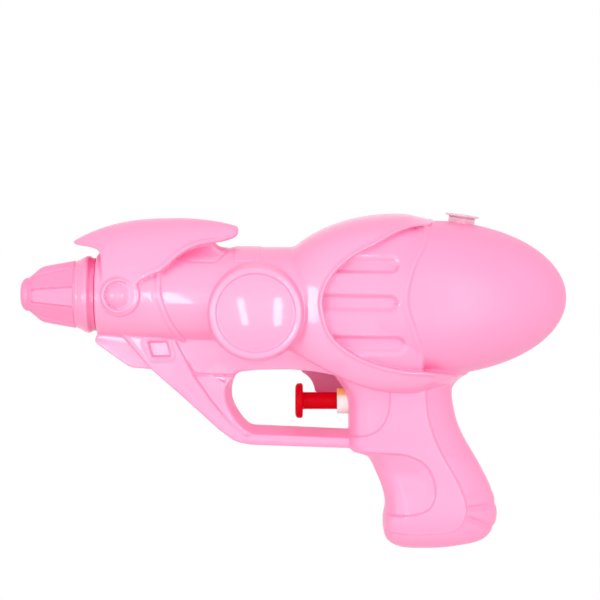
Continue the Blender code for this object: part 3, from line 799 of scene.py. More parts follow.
@dataclass
class BodyShape:
    """Outer form of the moulded body as a distance field.

    Both sides are alike, so y is the distance from the parting plane. Ramps and beads go by the distance to
    the outline that they are named for, or by X or Z. Fillets between forms are given where they are joined.
    """

    # Barrel: the front section's edge, the two plates on its top and the muzzle
    axis_z: float = 85.1
    muzzle_x: float = -65.2
    barrel_end_x: float = 8.0
    barrel_radius: float = 16.3
    muzzle_drop: float = 3.0
    swell_length: float = 34.0
    barrel_step: float = 0.55
    step_wall: Ramp = Ramp(0.0, 0.8)
    step_roll: Bead = Bead(-1.0, 0.35, 1.6)
    step_line: Bead = Bead(-2.4, -0.12, 1.2)
    plate_depths: Point = (0.12, -0.25)
    plate_wall: float = 0.6
    plate_lines: Point = (0.25, 0.0)
    plate_line_width: float = 0.8
    muzzle_roll: Bead = Bead(0.9, 0.3, 1.6)
    muzzle_wall: float = 0.6

    # Tank, and the hood that thins out towards the tail: along its top and its underside, by X
    tank_centre: Point = (45.5, 84.0)
    tank_reach: Point = (50.0, 45.3)
    tank_height: float = 25.6
    tank_width: float = 21.5
    tank_powers: Point = (2.75, 2.2)
    tank_rounding: Ramp = Ramp(58.0, 40.0)
    hood_centre: Point = (34.0, 82.9)
    hood_reach: Point = (43.0, 43.0)
    hood_heights: Point = (29.0, 31.8)
    hood_width: float = 22.2
    hood_power: float = 3.1
    hood_step: float = 1.5
    hood_upper: Ramp = Ramp(84.0, 20.0)
    hood_fade_top: Outline = ((34.0, 6.0), (36.5, 3.8), (38.5, 2.7), (40.7, 1.75), (43.0, 1.05), (46.0, 0.05))
    hood_fade_low: Outline = (
        (37.0, 8.0), (41.0, 6.4), (46.0, 4.6), (50.0, 3.5), (53.0, 2.8), (55.0, 1.6), (57.0, 0.4))
    hood_inset: float = 0.6
    hood_roll: Bead = Bead(0.7, 0.5, 1.4)
    # How much thinner it gets at its rear end, near the edge
    hood_thinning: float = 0.65
    hood_rear: Ramp = Ramp(47.0, 6.0)
    hood_margin: Ramp = Ramp(2.0, 4.0)
    # The fillet under the hood's edge, and what it gains at the low rear end
    hood_blends: tuple[Ramp, Ramp] = (Ramp(44.0, 9.0), Ramp(68.0, 8.0))
    hood_fillets: Point = (0.35, 1.2)
    # The panel in the hood's window, and its grooves
    panel_height: float = 0.6
    panel_wall: Ramp = Ramp(0.0, 1.2)
    panel_roll: Bead = Bead(-1.2, 0.2, 1.4)
    groove_depth: float = 1.15
    groove_inset: float = 0.5

    # Visor: ends, drops and bends of its top line to the front and to the rear
    visor_peak: Point = (-38.0, 110.5)
    visor_ends: Point = (-73.2, -18.6)
    visor_drops: Point = (7.6, 2.6)
    visor_bends: Point = (2.7, 2.0)
    visor_skirt: float = 17.0
    visor_roll: Bead = Bead(-1.1, 0.2, 3.0)
    visor_roll_top: Ramp = Ramp(101.5, 2.0)
    lip_width: float = 1.5
    # Middle and half length along X
    lip_span: Point = (-34.5, 14.5)
    lip_top: float = 104.0
    cheek_radius: float = 7.0

    # Large disc: radius and bend of its rim's crest; radius, height and drop of its dome
    disc_centre: Point = (-12.2, 80.5)
    disc_radius: float = 15.3
    disc_face: float = 18.4
    disc_draft: float = 0.12
    disc_rim: Point = (14.3, 0.22)
    disc_line: Bead = Bead(12.95, 0.2, 0.8)
    disc_well: float = 0.4
    disc_well_wall: Ramp = Ramp(12.7, -1.1)
    disc_dome: Triple = (12.5, 2.0, 0.7)
    # Small boss: radius and half width of its ring; radius and height of its dome
    pivot_centre: Point = (-56.9, 86.0)
    pivot_radius: float = 5.9
    pivot_face: float = 15.9
    pivot_draft: float = 0.1
    pivot_ring: Point = (5.15, 0.85)
    pivot_groove: float = 0.9
    pivot_dome: Point = (4.45, 1.9)

    # Half widths of the flat plates under the barrel, and the opening for the finger
    keel_half: float = 6.2
    web_half: float = 5.9
    strut_half: float = 6.6
    fin_half: float = 4.5
    keel_line: Bead = Bead(0.3, -0.35, 0.8)
    opening_draft: float = 2.3
    opening_bend: float = 1.3
    opening_top: Ramp = Ramp(56.0, 4.0)
    opening_fillets: Point = (0.4, 1.0)
    opening_corner: tuple[Ramp, Ramp] = (Ramp(-16.0, -3.0), Ramp(43.0, 3.0))
    # The strut's folded front facet: a point in X and Z on the fold, and its lean
    facet_slope: float = 0.055
    facet_fold: Triple = (-48.4, 70.0, 0.3)
    facet_length: float = 9.0
    facet_foot: Ramp = Ramp(64.0, 6.0)
    fin_fold_x: float = -56.0
    fin_fold: Ramp = Ramp(70.0, 3.0)
    pane_depth: float = 1.1
    pane_x: float = -44.5
    pane_wall: Ramp = Ramp(0.0, 0.5)
    pane_roll: Bead = Bead(1.1, 0.5, 1.5)
    strut_roll: Bead = Bead(-0.7, 0.28, 1.0)
    # The bevel along the strut's inner edge, on one side of a slanted line
    bevel_slope: float = 0.28
    bevel_width: float = 1.6
    bevel_corner: Point = (-15.3, 38.6)
    bevel_way: Point = (0.806, 0.592)
    bevel_side: Ramp = Ramp(-2.6, 1.0)
    bevel_top: Ramp = Ramp(60.0, 2.0)
    # The web's tilted facet: start, length and where it is flush; height, climb and wall of its foot
    nick_span: Triple = (-28.0, 6.0, 2.2)
    nick_slope: float = 0.21
    nick_foot: Triple = (58.6, 0.42, 0.8)
    nick_ends: tuple[Ramp, Ramp] = (Ramp(-27.5, 1.0), Ramp(-22.5, 1.0))

    # Grip: squareness of front and back, and depth and wall of what is sunk into its sides
    grip_powers: Point = (4.5, 2.3)
    grip_sides: Ramp = Ramp(7.0, 5.0)
    strap_blend: Ramp = Ramp(0.0, 1.0)
    strap_drop: float = 0.5
    strap_wall: Ramp = Ramp(0.0, 0.6)
    front_sink: Point = (0.7, 0.6)
    thumb_sink: Point = (1.0, 0.9)
    thumb_dish: float = 1.5
    thumb_bowl: Ramp = Ramp(-4.0, 8.0)
    thumb_low_share: float = 0.3
    thumb_upper: Ramp = Ramp(24.0, 16.0)
    crease_width: float = 2.0
    crease_start: float = 6.0
    crease_low_share: float = 0.4
    crease_side: Ramp = Ramp(5.0, 5.0)
    wall: float = 1.8
    overlap: float = 1.0

    # Outlines in X and Z
    hood_edge: Outline = (
        (46.2, 114.0), (45.5, 109.5), (38.7, 108.7), (33.0, 106.9), (27.0, 103.6), (19.2, 99.5), (12.8, 93.7),
        (9.6, 87.6), (9.2, 81.5), (11.9, 73.3), (17.9, 67.7), (26.1, 63.8), (36.2, 61.4), (42.8, 60.9),
        (48.5, 60.0), (54.5, 58.7), (62.0, 57.4))
    skirt_edge: Outline = (
        (-40.0, 75.0), (-10.0, 71.4), (-2.1, 67.6), (7.1, 63.0), (16.9, 58.2), (26.8, 54.8), (36.0, 53.6),
        (44.0, 53.8), (50.0, 54.9), (53.0, 55.7), (55.3, 57.0), (57.0, 59.4), (57.0, 75.0))
    panel_edge: Outline = (
        (44.6, 114.0), (44.2, 108.5), (43.0, 102.8), (39.8, 96.4), (37.6, 89.0), (37.4, 83.0), (39.3, 76.9),
        (42.0, 69.0), (42.6, 65.6), (41.8, 58.0))
    # Left and right end, middle and half height; then the width of the wall above and below
    grooves: Sequence[tuple[float, float, float, float]] = (
        (6.0, 34.4, 96.1, 2.7), (4.0, 34.1, 83.8, 3.0), (6.0, 36.5, 70.4, 2.9))
    groove_walls: Sequence[Point] = ((3.4, 1.4), (2.0, 2.6), (1.7, 3.4))
    # Half widths of the visor and of its lip, by X
    visor_halves: Outline = (
        (-74.4, 0.6), (-73.2, 3.0), (-70.5, 7.2), (-66.0, 11.3), (-59.0, 14.9), (-51.0, 16.0), (-43.5, 16.0),
        (-36.0, 14.2), (-29.0, 11.2), (-23.5, 8.0), (-18.6, 4.4), (-16.0, 2.0))
    visor_rear: Outline = (
        (-18.3, 107.6), (-18.3, 105.2), (-19.6, 104.0), (-22.9, 103.15), (-26.3, 102.65), (-28.5, 102.4),
        (-31.4, 101.9), (-34.2, 100.8), (-37.4, 98.9), (-42.7, 94.1), (-47.6, 92.2), (-50.0, 90.6))
    visor_front: Outline = (
        (-63.1, 92.0), (-63.1, 97.0), (-63.6, 100.2), (-66.4, 101.2), (-72.0, 101.7), (-73.6, 102.4),
        (-73.6, 103.4))
    lip_line: Outline = (
        (-48.0, 15.6), (-42.7, 15.2), (-37.8, 12.6), (-31.5, 9.5), (-27.2, 7.3), (-23.6, 4.9), (-20.0, 1.5))
    stem_middle: Point = (-43.0, 100.5)
    # Half sizes of the foot under it; then where its end starts to slope, over what height and by how much
    stem_half: Triple = (16.6, 5.0, 3.5)
    stem_slope: Triple = (102.5, 3.0, 0.45)
    step_edge: Outline = (
        (-43.1, 104.0), (-43.1, 87.7), (-42.5, 84.5), (-41.2, 80.5), (-39.3, 76.3), (-37.0, 72.7),
        (-33.0, 67.0))
    pedestal: Outline = (
        (-40.0, 98.4), (-34.0, 96.8), (-25.6, 96.6), (-20.7, 101.0), (-20.7, 115.0), (-40.0, 115.0))
    low_pedestal: Outline = ((-19.5, 97.0), (-12.0, 97.0), (-10.5, 98.5), (-10.5, 115.0), (-19.5, 115.0))

    opening: Outline = (
        (24.0, 57.0), (13.5, 58.6), (8.0, 59.8), (-1.1, 60.7), (-12.7, 60.5), (-18.2, 59.7), (-19.7, 58.0),
        (-20.6, 53.8), (-20.5, 51.0), (-19.5, 48.0), (-17.1, 44.2), (-14.4, 41.4), (24.0, 39.7))
    keel: Outline = (
        (30.0, 56.0), (-18.0, 57.5), (-19.6, 58.9), (-32.3, 59.2), (-38.5, 69.0), (-38.5, 80.0), (30.0, 80.0))
    web: Outline = ((-38.0, 70.0), (-16.0, 64.0), (-10.0, 50.0), (-10.0, 38.0), (-20.0, 40.0), (-30.0, 53.0))
    strut: Outline = (
        (-58.6, 76.0), (-57.3, 72.5), (-47.5, 60.9), (-37.8, 52.4), (-24.5, 40.2), (-19.5, 36.5),
        (-14.5, 35.3), (24.0, 34.0), (24.0, 42.5), (-10.5, 42.5), (-13.4, 39.7), (-15.3, 38.6),
        (-19.4, 41.9), (-27.0, 50.7), (-34.2, 61.7), (-38.8, 70.6), (-38.8, 76.0))
    fin: Outline = (
        (-64.8, 76.0), (-65.0, 72.5), (-66.1, 70.1), (-65.3, 68.9), (-56.1, 62.3), (-54.0, 61.0),
        (-47.0, 60.4), (-42.0, 62.0), (-42.0, 76.0))
    window: Outline = ((-48.0, 69.9), (-41.8, 69.9), (-40.6, 65.2), (-46.6, 65.0))

    # Height, front, back and half width
    grip_stations: Sequence[tuple[float, float, float, float]] = (
        (-1.0, 40.0, 46.0, 1.0), (0.0, 38.0, 50.0, 3.5), (0.9, 35.0, 55.5, 6.6),
        (2.5, 32.0, 62.6, 9.4), (5.0, 30.4, 66.0, 11.3), (9.5, 30.1, 68.1, 12.3),
        (14.5, 30.8, 68.0, 12.5), (20.4, 29.7, 66.2, 12.3), (26.5, 27.3, 63.2, 12.3),
        (30.8, 25.1, 60.8, 12.3), (32.3, 22.4, 59.9, 12.3), (33.3, 19.3, 59.3, 12.3),
        (36.0, 18.5, 57.7, 12.3), (42.0, 18.4, 54.9, 12.5), (49.0, 18.2, 53.2, 12.6),
        (53.0, 17.2, 52.9, 12.8), (54.7, 16.2, 53.4, 12.8), (56.2, 15.2, 54.6, 12.8),
        (57.4, 14.3, 55.9, 12.8), (58.4, 13.7, 57.3, 12.8), (59.4, 13.1, 58.5, 12.8),
        (66.0, 12.0, 61.0, 12.8))
    grip_top: float = 64.0
    front_panel: Outline = (
        (31.7, 62.0), (31.7, 50.3), (30.8, 45.4), (28.5, 41.7), (25.8, 39.9), (21.9, 38.9), (10.0, 38.0))
    backstrap: Outline = (
        (43.4, 64.0), (43.6, 54.6), (44.6, 44.6), (48.6, 34.0), (54.6, 23.3), (57.3, 14.6), (54.1, 7.9),
        (45.2, 6.3), (33.0, 6.6), (22.0, 9.0))
    thumb_rest: Outline = (
        (18.0, 33.6), (30.1, 33.4), (38.4, 32.4), (44.3, 28.7), (47.0, 21.4), (45.4, 15.4), (40.1, 12.9),
        (30.0, 12.4), (18.0, 13.4))
    # Both ends and the depth
    heel_creases: Sequence[tuple[Point, Point, float]] = (
        ((57.0, 18.7), (69.0, 19.6), 0.4), ((56.8, 14.8), (69.0, 15.1), 1.0),
        ((56.5, 12.2), (68.0, 6.6), 1.0))

    def __post_init__(self) -> None:
        """Work out the curves and the maps that the fields use."""
        arc = [math.radians(a) for a in range(30, -196, -15)]
        cheek = [(self.pivot_centre[0] + self.cheek_radius * math.cos(a),
                  self.pivot_centre[1] + self.cheek_radius * math.sin(a)) for a in arc]
        visor = [*rounded(self.visor_rear, 2.0), *cheek, *rounded(self.visor_front, 1.4)]
        self.in_window = Region(smooth_curve(self.hood_edge) + [(FAR, 57.4), (FAR, FAR)])
        self.on_hood = Region(smooth_curve(self.skirt_edge) + [(57.0, FAR), (-40.0, FAR)])
        self.on_panel = Region(smooth_curve(self.panel_edge) + [(-FAR, 58.0), (-FAR, FAR)])
        self.in_visor = Region([*visor, (-73.6, FAR), (-18.6, FAR)])
        self.in_front = Region(smooth_curve(self.step_edge) + [(-FAR, 67.0), (-FAR, 104.0)])
        plates = (self.pedestal, self.low_pedestal)
        self.on_plates = [Region(rounded(line, 0.8, closed=True)) for line in plates]
        self.in_opening = Region(rounded(self.opening, 1.6, closed=True))
        self.in_keel = Region(rounded(self.keel, 1.0, closed=True))
        self.in_web = Region(self.web)
        self.in_strut = Region(rounded(self.strut, 1.6, closed=True))
        self.in_fin = Region(rounded(self.fin, 1.2, closed=True))
        self.in_pane = Region(rounded(self.window, 0.5, closed=True))
        self.on_front = Region(smooth_curve(self.front_panel, 4) + [(0.0, 38.0), (0.0, 62.0)])
        self.on_side = Region(smooth_curve(self.backstrap, 4) + [(0.0, 9.0), (0.0, 64.0)])
        self.in_thumb = Region(smooth_curve([*self.thumb_rest, self.thumb_rest[0]], 4))
        self.station_lines = np.array(smooth_curve(self.grip_stations, 6)).T
        self.visor_line = np.array(smooth_curve(self.visor_halves, 6)).T

    def tank_egg(self, x: np.ndarray, y: np.ndarray, z: np.ndarray) -> np.ndarray:
        """Measure the distance to the bare tank, which is squarer in section towards the hood.

        Args:
            x: X of the points.
            y: Distance of the points from the parting plane.
            z: Z of the points.

        Returns:
            Distances, negative inside.
        """
        square, oval = self.tank_powers
        power = square + (oval - square) * self.tank_rounding(x)
        heights = (self.tank_height, self.tank_height)
        return egg(x, y, z, self.tank_centre, self.tank_reach, heights, self.tank_width, power)

    def groove_slots(self, x: np.ndarray, z: np.ndarray) -> list[np.ndarray]:
        """Measure the distance to each round-ended groove of the hood's panel.

        Args:
            x: X of the points.
            z: Z of the points.

        Returns:
            For each groove, distances from its edge, negative inside.
        """
        slots = []
        for left, right, middle, half in self.grooves:
            nearest = np.clip(x, left, right - half)
            slots.append(np.sqrt((x - nearest) ** 2 + (z - middle) ** 2) - half)
        return slots

    def pod(self, x: np.ndarray, y: np.ndarray, z: np.ndarray) -> np.ndarray:
        """Measure the distance to the tank in its hood, with the rolled edge, the grooved panel and the tail.

        Args:
            x: X of the points.
            y: Distance of the points from the parting plane.
            z: Z of the points.

        Returns:
            Distances, negative inside.
        """
        tail = self.tank_egg(x, y, z)
        hood = egg(x, y, z, self.hood_centre, self.hood_reach, self.hood_heights, self.hood_width,
                   self.hood_power)
        hood = soft_meet(hood, self.on_hood(x, z), 1.0)
        top, low = (np.interp(x, *np.array(line).T) for line in (self.hood_fade_top, self.hood_fade_low))
        upper, pane = self.hood_upper(z), self.in_window(x, z) + self.hood_inset
        low = low * (1.0 - self.hood_thinning * self.hood_rear(x) * (1.0 - self.hood_margin(pane)))
        hood = soft_meet(hood, tail - low - (top - low) * upper, 0.5 + 0.5 * upper)
        edge = self.on_panel(x, z)
        panel = np.minimum(tail - self.panel_height, hood + self.hood_step) + self.panel_roll(edge)
        shape = tail + (panel - tail) * (1.0 - self.panel_wall(edge))
        grooves = zip(self.groove_slots(x, z), self.grooves, self.groove_walls)
        for slot, (_, _, middle, _), (above, below) in grooves:
            wall = np.where(z > middle, above, below)
            shape = shape + sunk(slot + self.groove_inset, self.groove_depth, wall)
        hood = soft_meet(hood + self.hood_roll(pane), -pane, 0.9)
        back, height = self.hood_blends
        sharp, blend = self.hood_fillets
        return soft_join(shape, hood, sharp + blend * (back(x) * (1.0 - height(z))))

    def barrel_radii(self, x: np.ndarray) -> np.ndarray:
        """Give the radius of the barrel, which is slimmer at the muzzle."""
        swell = np.clip((x - self.muzzle_x) / self.swell_length, 0.0, 1.0)
        return self.barrel_radius - self.muzzle_drop * (1.0 - swell) ** 1.4

    def barrel(self, x: np.ndarray, y: np.ndarray, z: np.ndarray) -> np.ndarray:
        """Measure the distance to the barrel, with its raised front, a collar at the muzzle and low plates.

        Args:
            x: X of the points.
            y: Distance of the points from the parting plane.
            z: Z of the points.

        Returns:
            Distances, negative inside.
        """
        shape = np.sqrt(y ** 2 + (z - self.axis_z) ** 2) - self.barrel_radii(x)
        edge = self.in_front(x, z)
        shape = shape + self.barrel_step * self.step_wall(edge) + self.step_roll(edge) + self.step_line(edge)
        for region, depth, line in zip(self.on_plates, self.plate_depths, self.plate_lines):
            plate = region(x, z)
            shape = shape + sunk(plate, depth, self.plate_wall) - bead(plate, line, self.plate_line_width)
        shape = shape + self.muzzle_roll(x - self.muzzle_x)
        return soft_meet(soft_meet(shape, self.muzzle_x - x, 0.8), x - self.barrel_end_x, 0.5)

    def visor(self, x: np.ndarray, y: np.ndarray, z: np.ndarray) -> np.ndarray:
        """Measure the distance to the visor, with a rolled lip along its lower edge and round the boss.

        Args:
            x: X of the points.
            y: Distance of the points from the parting plane.
            z: Z of the points.

        Returns:
            Distances, negative inside.
        """
        peak_x, peak_z = self.visor_peak
        front, rear = self.visor_ends
        back = np.clip((x - peak_x) / (rear - peak_x), 0.0, 2.0)
        fore = np.clip((peak_x - x) / (peak_x - front), 0.0, 1.5)
        (fore_drop, back_drop), (fore_bend, back_bend) = self.visor_drops, self.visor_bends
        top = peak_z - fore_drop * fore ** fore_bend - back_drop * back ** back_bend
        half = np.maximum(np.interp(x, *self.visor_line), 0.5)
        height = np.where(z > self.axis_z, top - self.axis_z, self.visor_skirt)
        v, w = (z - self.axis_z) / height, y / half
        oval = np.maximum(np.sqrt(v ** 2 + w ** 2), 1e-3)
        shape = (oval - 1.0) * oval / np.sqrt((v / height) ** 2 + (w / half) ** 2 + 1e-9)
        edge = self.in_visor(x, z)
        middle, reach = self.lip_span
        ends = np.maximum(np.abs(x - middle) - reach, z - self.lip_top)
        lip = np.maximum(np.maximum(edge, -self.lip_width - edge), ends)
        lip = soft_meet(lip, y - np.interp(x, *np.array(self.lip_line).T), 0.6)
        shape = soft_meet(shape + self.visor_roll(edge) * (1.0 - self.visor_roll_top(z)), edge, 1.0)
        return soft_join(shape, lip, 0.5)

    def stem(self, x: np.ndarray, y: np.ndarray, z: np.ndarray) -> np.ndarray:
        """Measure the distance to the low foot under the visor's rear, whose back end slopes to the barrel.

        Args:
            x: X of the points.
            y: Distance of the points from the parting plane.
            z: Z of the points.

        Returns:
            Distances, negative inside.
        """
        (middle_x, middle_z), (half_x, half_y, half_z) = self.stem_middle, self.stem_half
        top, height, slope = self.stem_slope
        end = np.abs(x - middle_x) - half_x - slope * np.clip(top - z, 0.0, height)
        return soft_meet(np.maximum(end, np.abs(z - middle_z) - half_z), y - half_y, 0.8)

    def disc(self, x: np.ndarray, y: np.ndarray, z: np.ndarray) -> np.ndarray:
        """Measure the distance to the large side disc, with a rolled rim, a fine groove and a shallow dome.

        Args:
            x: X of the points.
            y: Distance of the points from the parting plane.
            z: Z of the points.

        Returns:
            Distances, negative inside.
        """
        out = np.hypot(x - self.disc_centre[0], z - self.disc_centre[1])
        crest, bend = self.disc_rim
        rim = self.disc_face - bend * (out - crest) ** 2 - self.disc_well * self.disc_well_wall(out)
        rim = rim - self.disc_line(out)
        radius, height, drop = self.disc_dome
        level = soft_meet(rim, self.disc_face - drop + height * (1.0 - (out / radius) ** 2), 0.5)
        side = out - self.disc_radius - self.disc_draft * (self.disc_face - y)
        return soft_meet(side, y - level, 1.3)

    def boss(self, x: np.ndarray, y: np.ndarray, z: np.ndarray) -> np.ndarray:
        """Measure the distance to the small boss at the visor's foot, with a ring, a groove and a dome.

        Args:
            x: X of the points.
            y: Distance of the points from the parting plane.
            z: Z of the points.

        Returns:
            Distances, negative inside.
        """
        out = np.hypot(x - self.pivot_centre[0], z - self.pivot_centre[1])
        crest, half = self.pivot_ring
        radius, height = self.pivot_dome
        ring = self.pivot_face - self.pivot_groove * ((out - crest) / half) ** 2
        dome = self.pivot_face - self.pivot_groove + height * (1.0 - (out / radius) ** 2)
        level = np.maximum(np.where(out < radius, dome, ring), self.pivot_face - self.pivot_groove)
        side = out - self.pivot_radius - self.pivot_draft * (self.pivot_face - y)
        return soft_meet(side, y - level, 0.6)

    def strut_plate(self, x: np.ndarray, y: np.ndarray, z: np.ndarray) -> np.ndarray:
        """Measure the distance to the slanted strut with its window and its bevelled inner edge.

        Args:
            x: X of the points.
            y: Distance of the points from the parting plane.
            z: Z of the points.

        Returns:
            Distances, negative inside.
        """
        edge, pane = self.in_strut(x, z), self.in_pane(x, z)
        fold_x, fold_z, lean = self.facet_fold
        ahead = np.clip(x - fold_x + lean * (z - fold_z), -self.facet_length, 0.0)
        tilt = self.facet_slope * ahead * self.facet_foot(z)
        glaze = (self.pane_depth - self.facet_slope * (x - self.pane_x)) * (1.0 - self.pane_wall(pane))
        (corner_x, corner_z), (way_x, way_z) = self.bevel_corner, self.bevel_way
        inner = self.bevel_side(way_x * (x - corner_x) + way_z * (z - corner_z)) * (1.0 - self.bevel_top(z))
        relief = glaze + self.pane_roll(pane) + (1.0 - inner) * self.strut_roll(edge)
        relief = relief + self.bevel_slope * inner * np.clip(edge + self.bevel_width, 0.0, self.bevel_width)
        return soft_meet(edge, y - self.strut_half - tilt + relief, 1.1)

    def web_plate(self, x: np.ndarray, y: np.ndarray, z: np.ndarray) -> np.ndarray:
        """Measure the distance to the web between strut and keel, with a small tilted facet below the keel.

        Args:
            x: X of the points.
            y: Distance of the points from the parting plane.
            z: Z of the points.

        Returns:
            Distances, negative inside.
        """
        start, length, level = self.nick_span
        foot, climb, wall = self.nick_foot
        front, rear = self.nick_ends
        back = np.clip(x - start, 0.0, length)
        nick = self.nick_slope * (back - level) * rise(z - foot + climb * back, wall) * front(x)
        nick = nick * (1.0 - rear(x))
        face = y - self.web_half + nick + self.keel_line(self.in_keel(x, z))
        return soft_meet(self.in_web(x, z), face, 0.8)

    def frame_plates(self, x: np.ndarray, y: np.ndarray, z: np.ndarray) -> np.ndarray:
        """Measure the distance to the keel, the strut with the trigger guard, the web and the front fin.

        Args:
            x: X of the points.
            y: Distance of the points from the parting plane.
            z: Z of the points.

        Returns:
            Distances, negative inside.
        """
        keel = soft_meet(self.in_keel(x, z), y - self.keel_half, 0.7)
        slant = self.facet_slope * (x - self.fin_fold_x) * self.fin_fold(z)
        fin = soft_meet(self.in_fin(x, z), y - self.fin_half - slant, 0.8)
        plates = soft_join(soft_join(keel, self.web_plate(x, y, z), 0.2), self.strut_plate(x, y, z), 0.6)
        plates = soft_join(plates, fin, 0.4)
        bulge = (np.abs(y) / self.strut_half) ** self.opening_bend
        crown = self.opening_draft * bulge * (1.0 - self.opening_top(z))
        front, height = self.opening_corner
        sharp, blend = self.opening_fillets
        return soft_meet(plates, crown - self.in_opening(x, z), sharp + blend * front(x) * height(z))

    def grip_section(self, x: np.ndarray, y: np.ndarray, z: np.ndarray, back_power: float) -> np.ndarray:
        """Measure the distance to the plain grip, whose front is square.

        Args:
            x: X of the points.
            y: Distance of the points from the parting plane.
            z: Z of the points.
            back_power: Squareness of its back; 2 is an ellipse.

        Returns:
            Distances, negative inside.
        """
        heights, fronts, backs, halves = self.station_lines
        front, back, half = (np.interp(z, heights, line) for line in (fronts, backs, halves))
        reach = np.maximum(0.5 * (back - front), 1.0)
        away = x - 0.5 * (front + back)
        power = np.where(away > 0.0, back_power, self.grip_powers[0])
        u, w = np.abs(away) / reach, np.abs(y) / half
        oval = np.maximum((u ** power + w ** power) ** (1.0 / power), 1e-3)
        steepness = np.sqrt((u ** (power - 1) / reach) ** 2 + (w ** (power - 1) / half) ** 2)
        return (oval - 1.0) / np.maximum(oval ** (1.0 - power) * steepness, 1e-4)

    def grip(self, x: np.ndarray, y: np.ndarray, z: np.ndarray) -> np.ndarray:
        """Measure the distance to the grip, with its front panel, thumb rest, backstrap and heel creases.

        Args:
            x: X of the points.
            y: Distance of the points from the parting plane.
            z: Z of the points.

        Returns:
            Distances, negative inside.
        """
        square, soft = self.grip_powers
        flat, curved = self.grip_section(x, y, z, square), self.grip_section(x, y, z, soft)
        strap, thumb = self.on_side(x, z), self.in_thumb(x, z)
        shape = flat + (curved - flat) * self.strap_blend(strap)
        relief = self.strap_drop * self.strap_wall(strap) + sunk(self.on_front(x, z), *self.front_sink)
        relief = relief + sunk(thumb, *self.thumb_sink)
        share = self.thumb_low_share + (1.0 - self.thumb_low_share) * self.thumb_upper(z)
        relief = relief + self.thumb_dish * (1.0 - self.thumb_bowl(thumb)) * share
        side = self.crease_low_share + (1.0 - self.crease_low_share) * self.crease_side(y)
        for (ax, az), (bx, bz), depth in self.heel_creases:
            run_x, run_z = bx - ax, bz - az
            along = ((x - ax) * run_x + (z - az) * run_z) / (run_x ** 2 + run_z ** 2)
            along = np.clip(along, 0.0, 1.0)
            away = np.hypot(x - ax - along * run_x, z - az - along * run_z)
            crease = bead(away, depth, self.crease_width) * np.clip(along * self.crease_start, 0.0, 1.0)
            shape = shape - crease * side
        shape = shape + relief * self.grip_sides(np.abs(y))
        return soft_meet(soft_meet(shape, -z, 0.6), z - self.grip_top, 1.0)

    def outer(self, x: np.ndarray, y: np.ndarray, z: np.ndarray) -> np.ndarray:
        """Measure the distance to one half of the body, from the parting gap outwards.

        Args:
            x: X of the points.
            y: Distance of the points from the parting plane.
            z: Z of the points.

        Returns:
            Distances, negative inside.
        """
        shape = soft_join(self.pod(x, y, z), self.grip(x, y, z), 0.5)
        barrel = soft_join(self.barrel(x, y, z), self.stem(x, y, z), 3.0)
        shape = soft_join(shape, barrel, 0.8)
        shape = soft_join(shape, self.frame_plates(x, y, z), 0.6)
        visor = soft_join(self.visor(x, y, z), self.boss(x, y, z), 0.5)
        shape = soft_join(soft_join(shape, visor, 0.6), self.disc(x, y, z), 0.6)
        return soft_meet(shape, 0.5 * GAP - y, 0.3)

    def hollow(self, x: np.ndarray, y: np.ndarray, z: np.ndarray) -> np.ndarray:
        """Measure the distance to the hollow in tank, barrel and grip, which reaches past the parting plane.

        Args:
            x: X of the points.
            y: Distance of the points from the parting plane.
            z: Z of the points.

        Returns:
            Distances, negative inside.
        """
        bore = np.sqrt(y ** 2 + (z - self.axis_z) ** 2) - self.barrel_radii(x) + self.barrel_step
        bore = np.maximum(np.maximum(bore, self.muzzle_x + self.muzzle_wall - x), x - self.barrel_end_x)
        grip = self.grip_section(x, y, z, self.grip_powers[1]) + self.wall
        grip = np.maximum(np.maximum(grip, self.wall - z), z - self.grip_top)
        shape = np.minimum(np.minimum(self.tank_egg(x, y, z), bore), grip) + self.wall
        return np.maximum(shape, -self.overlap - y)


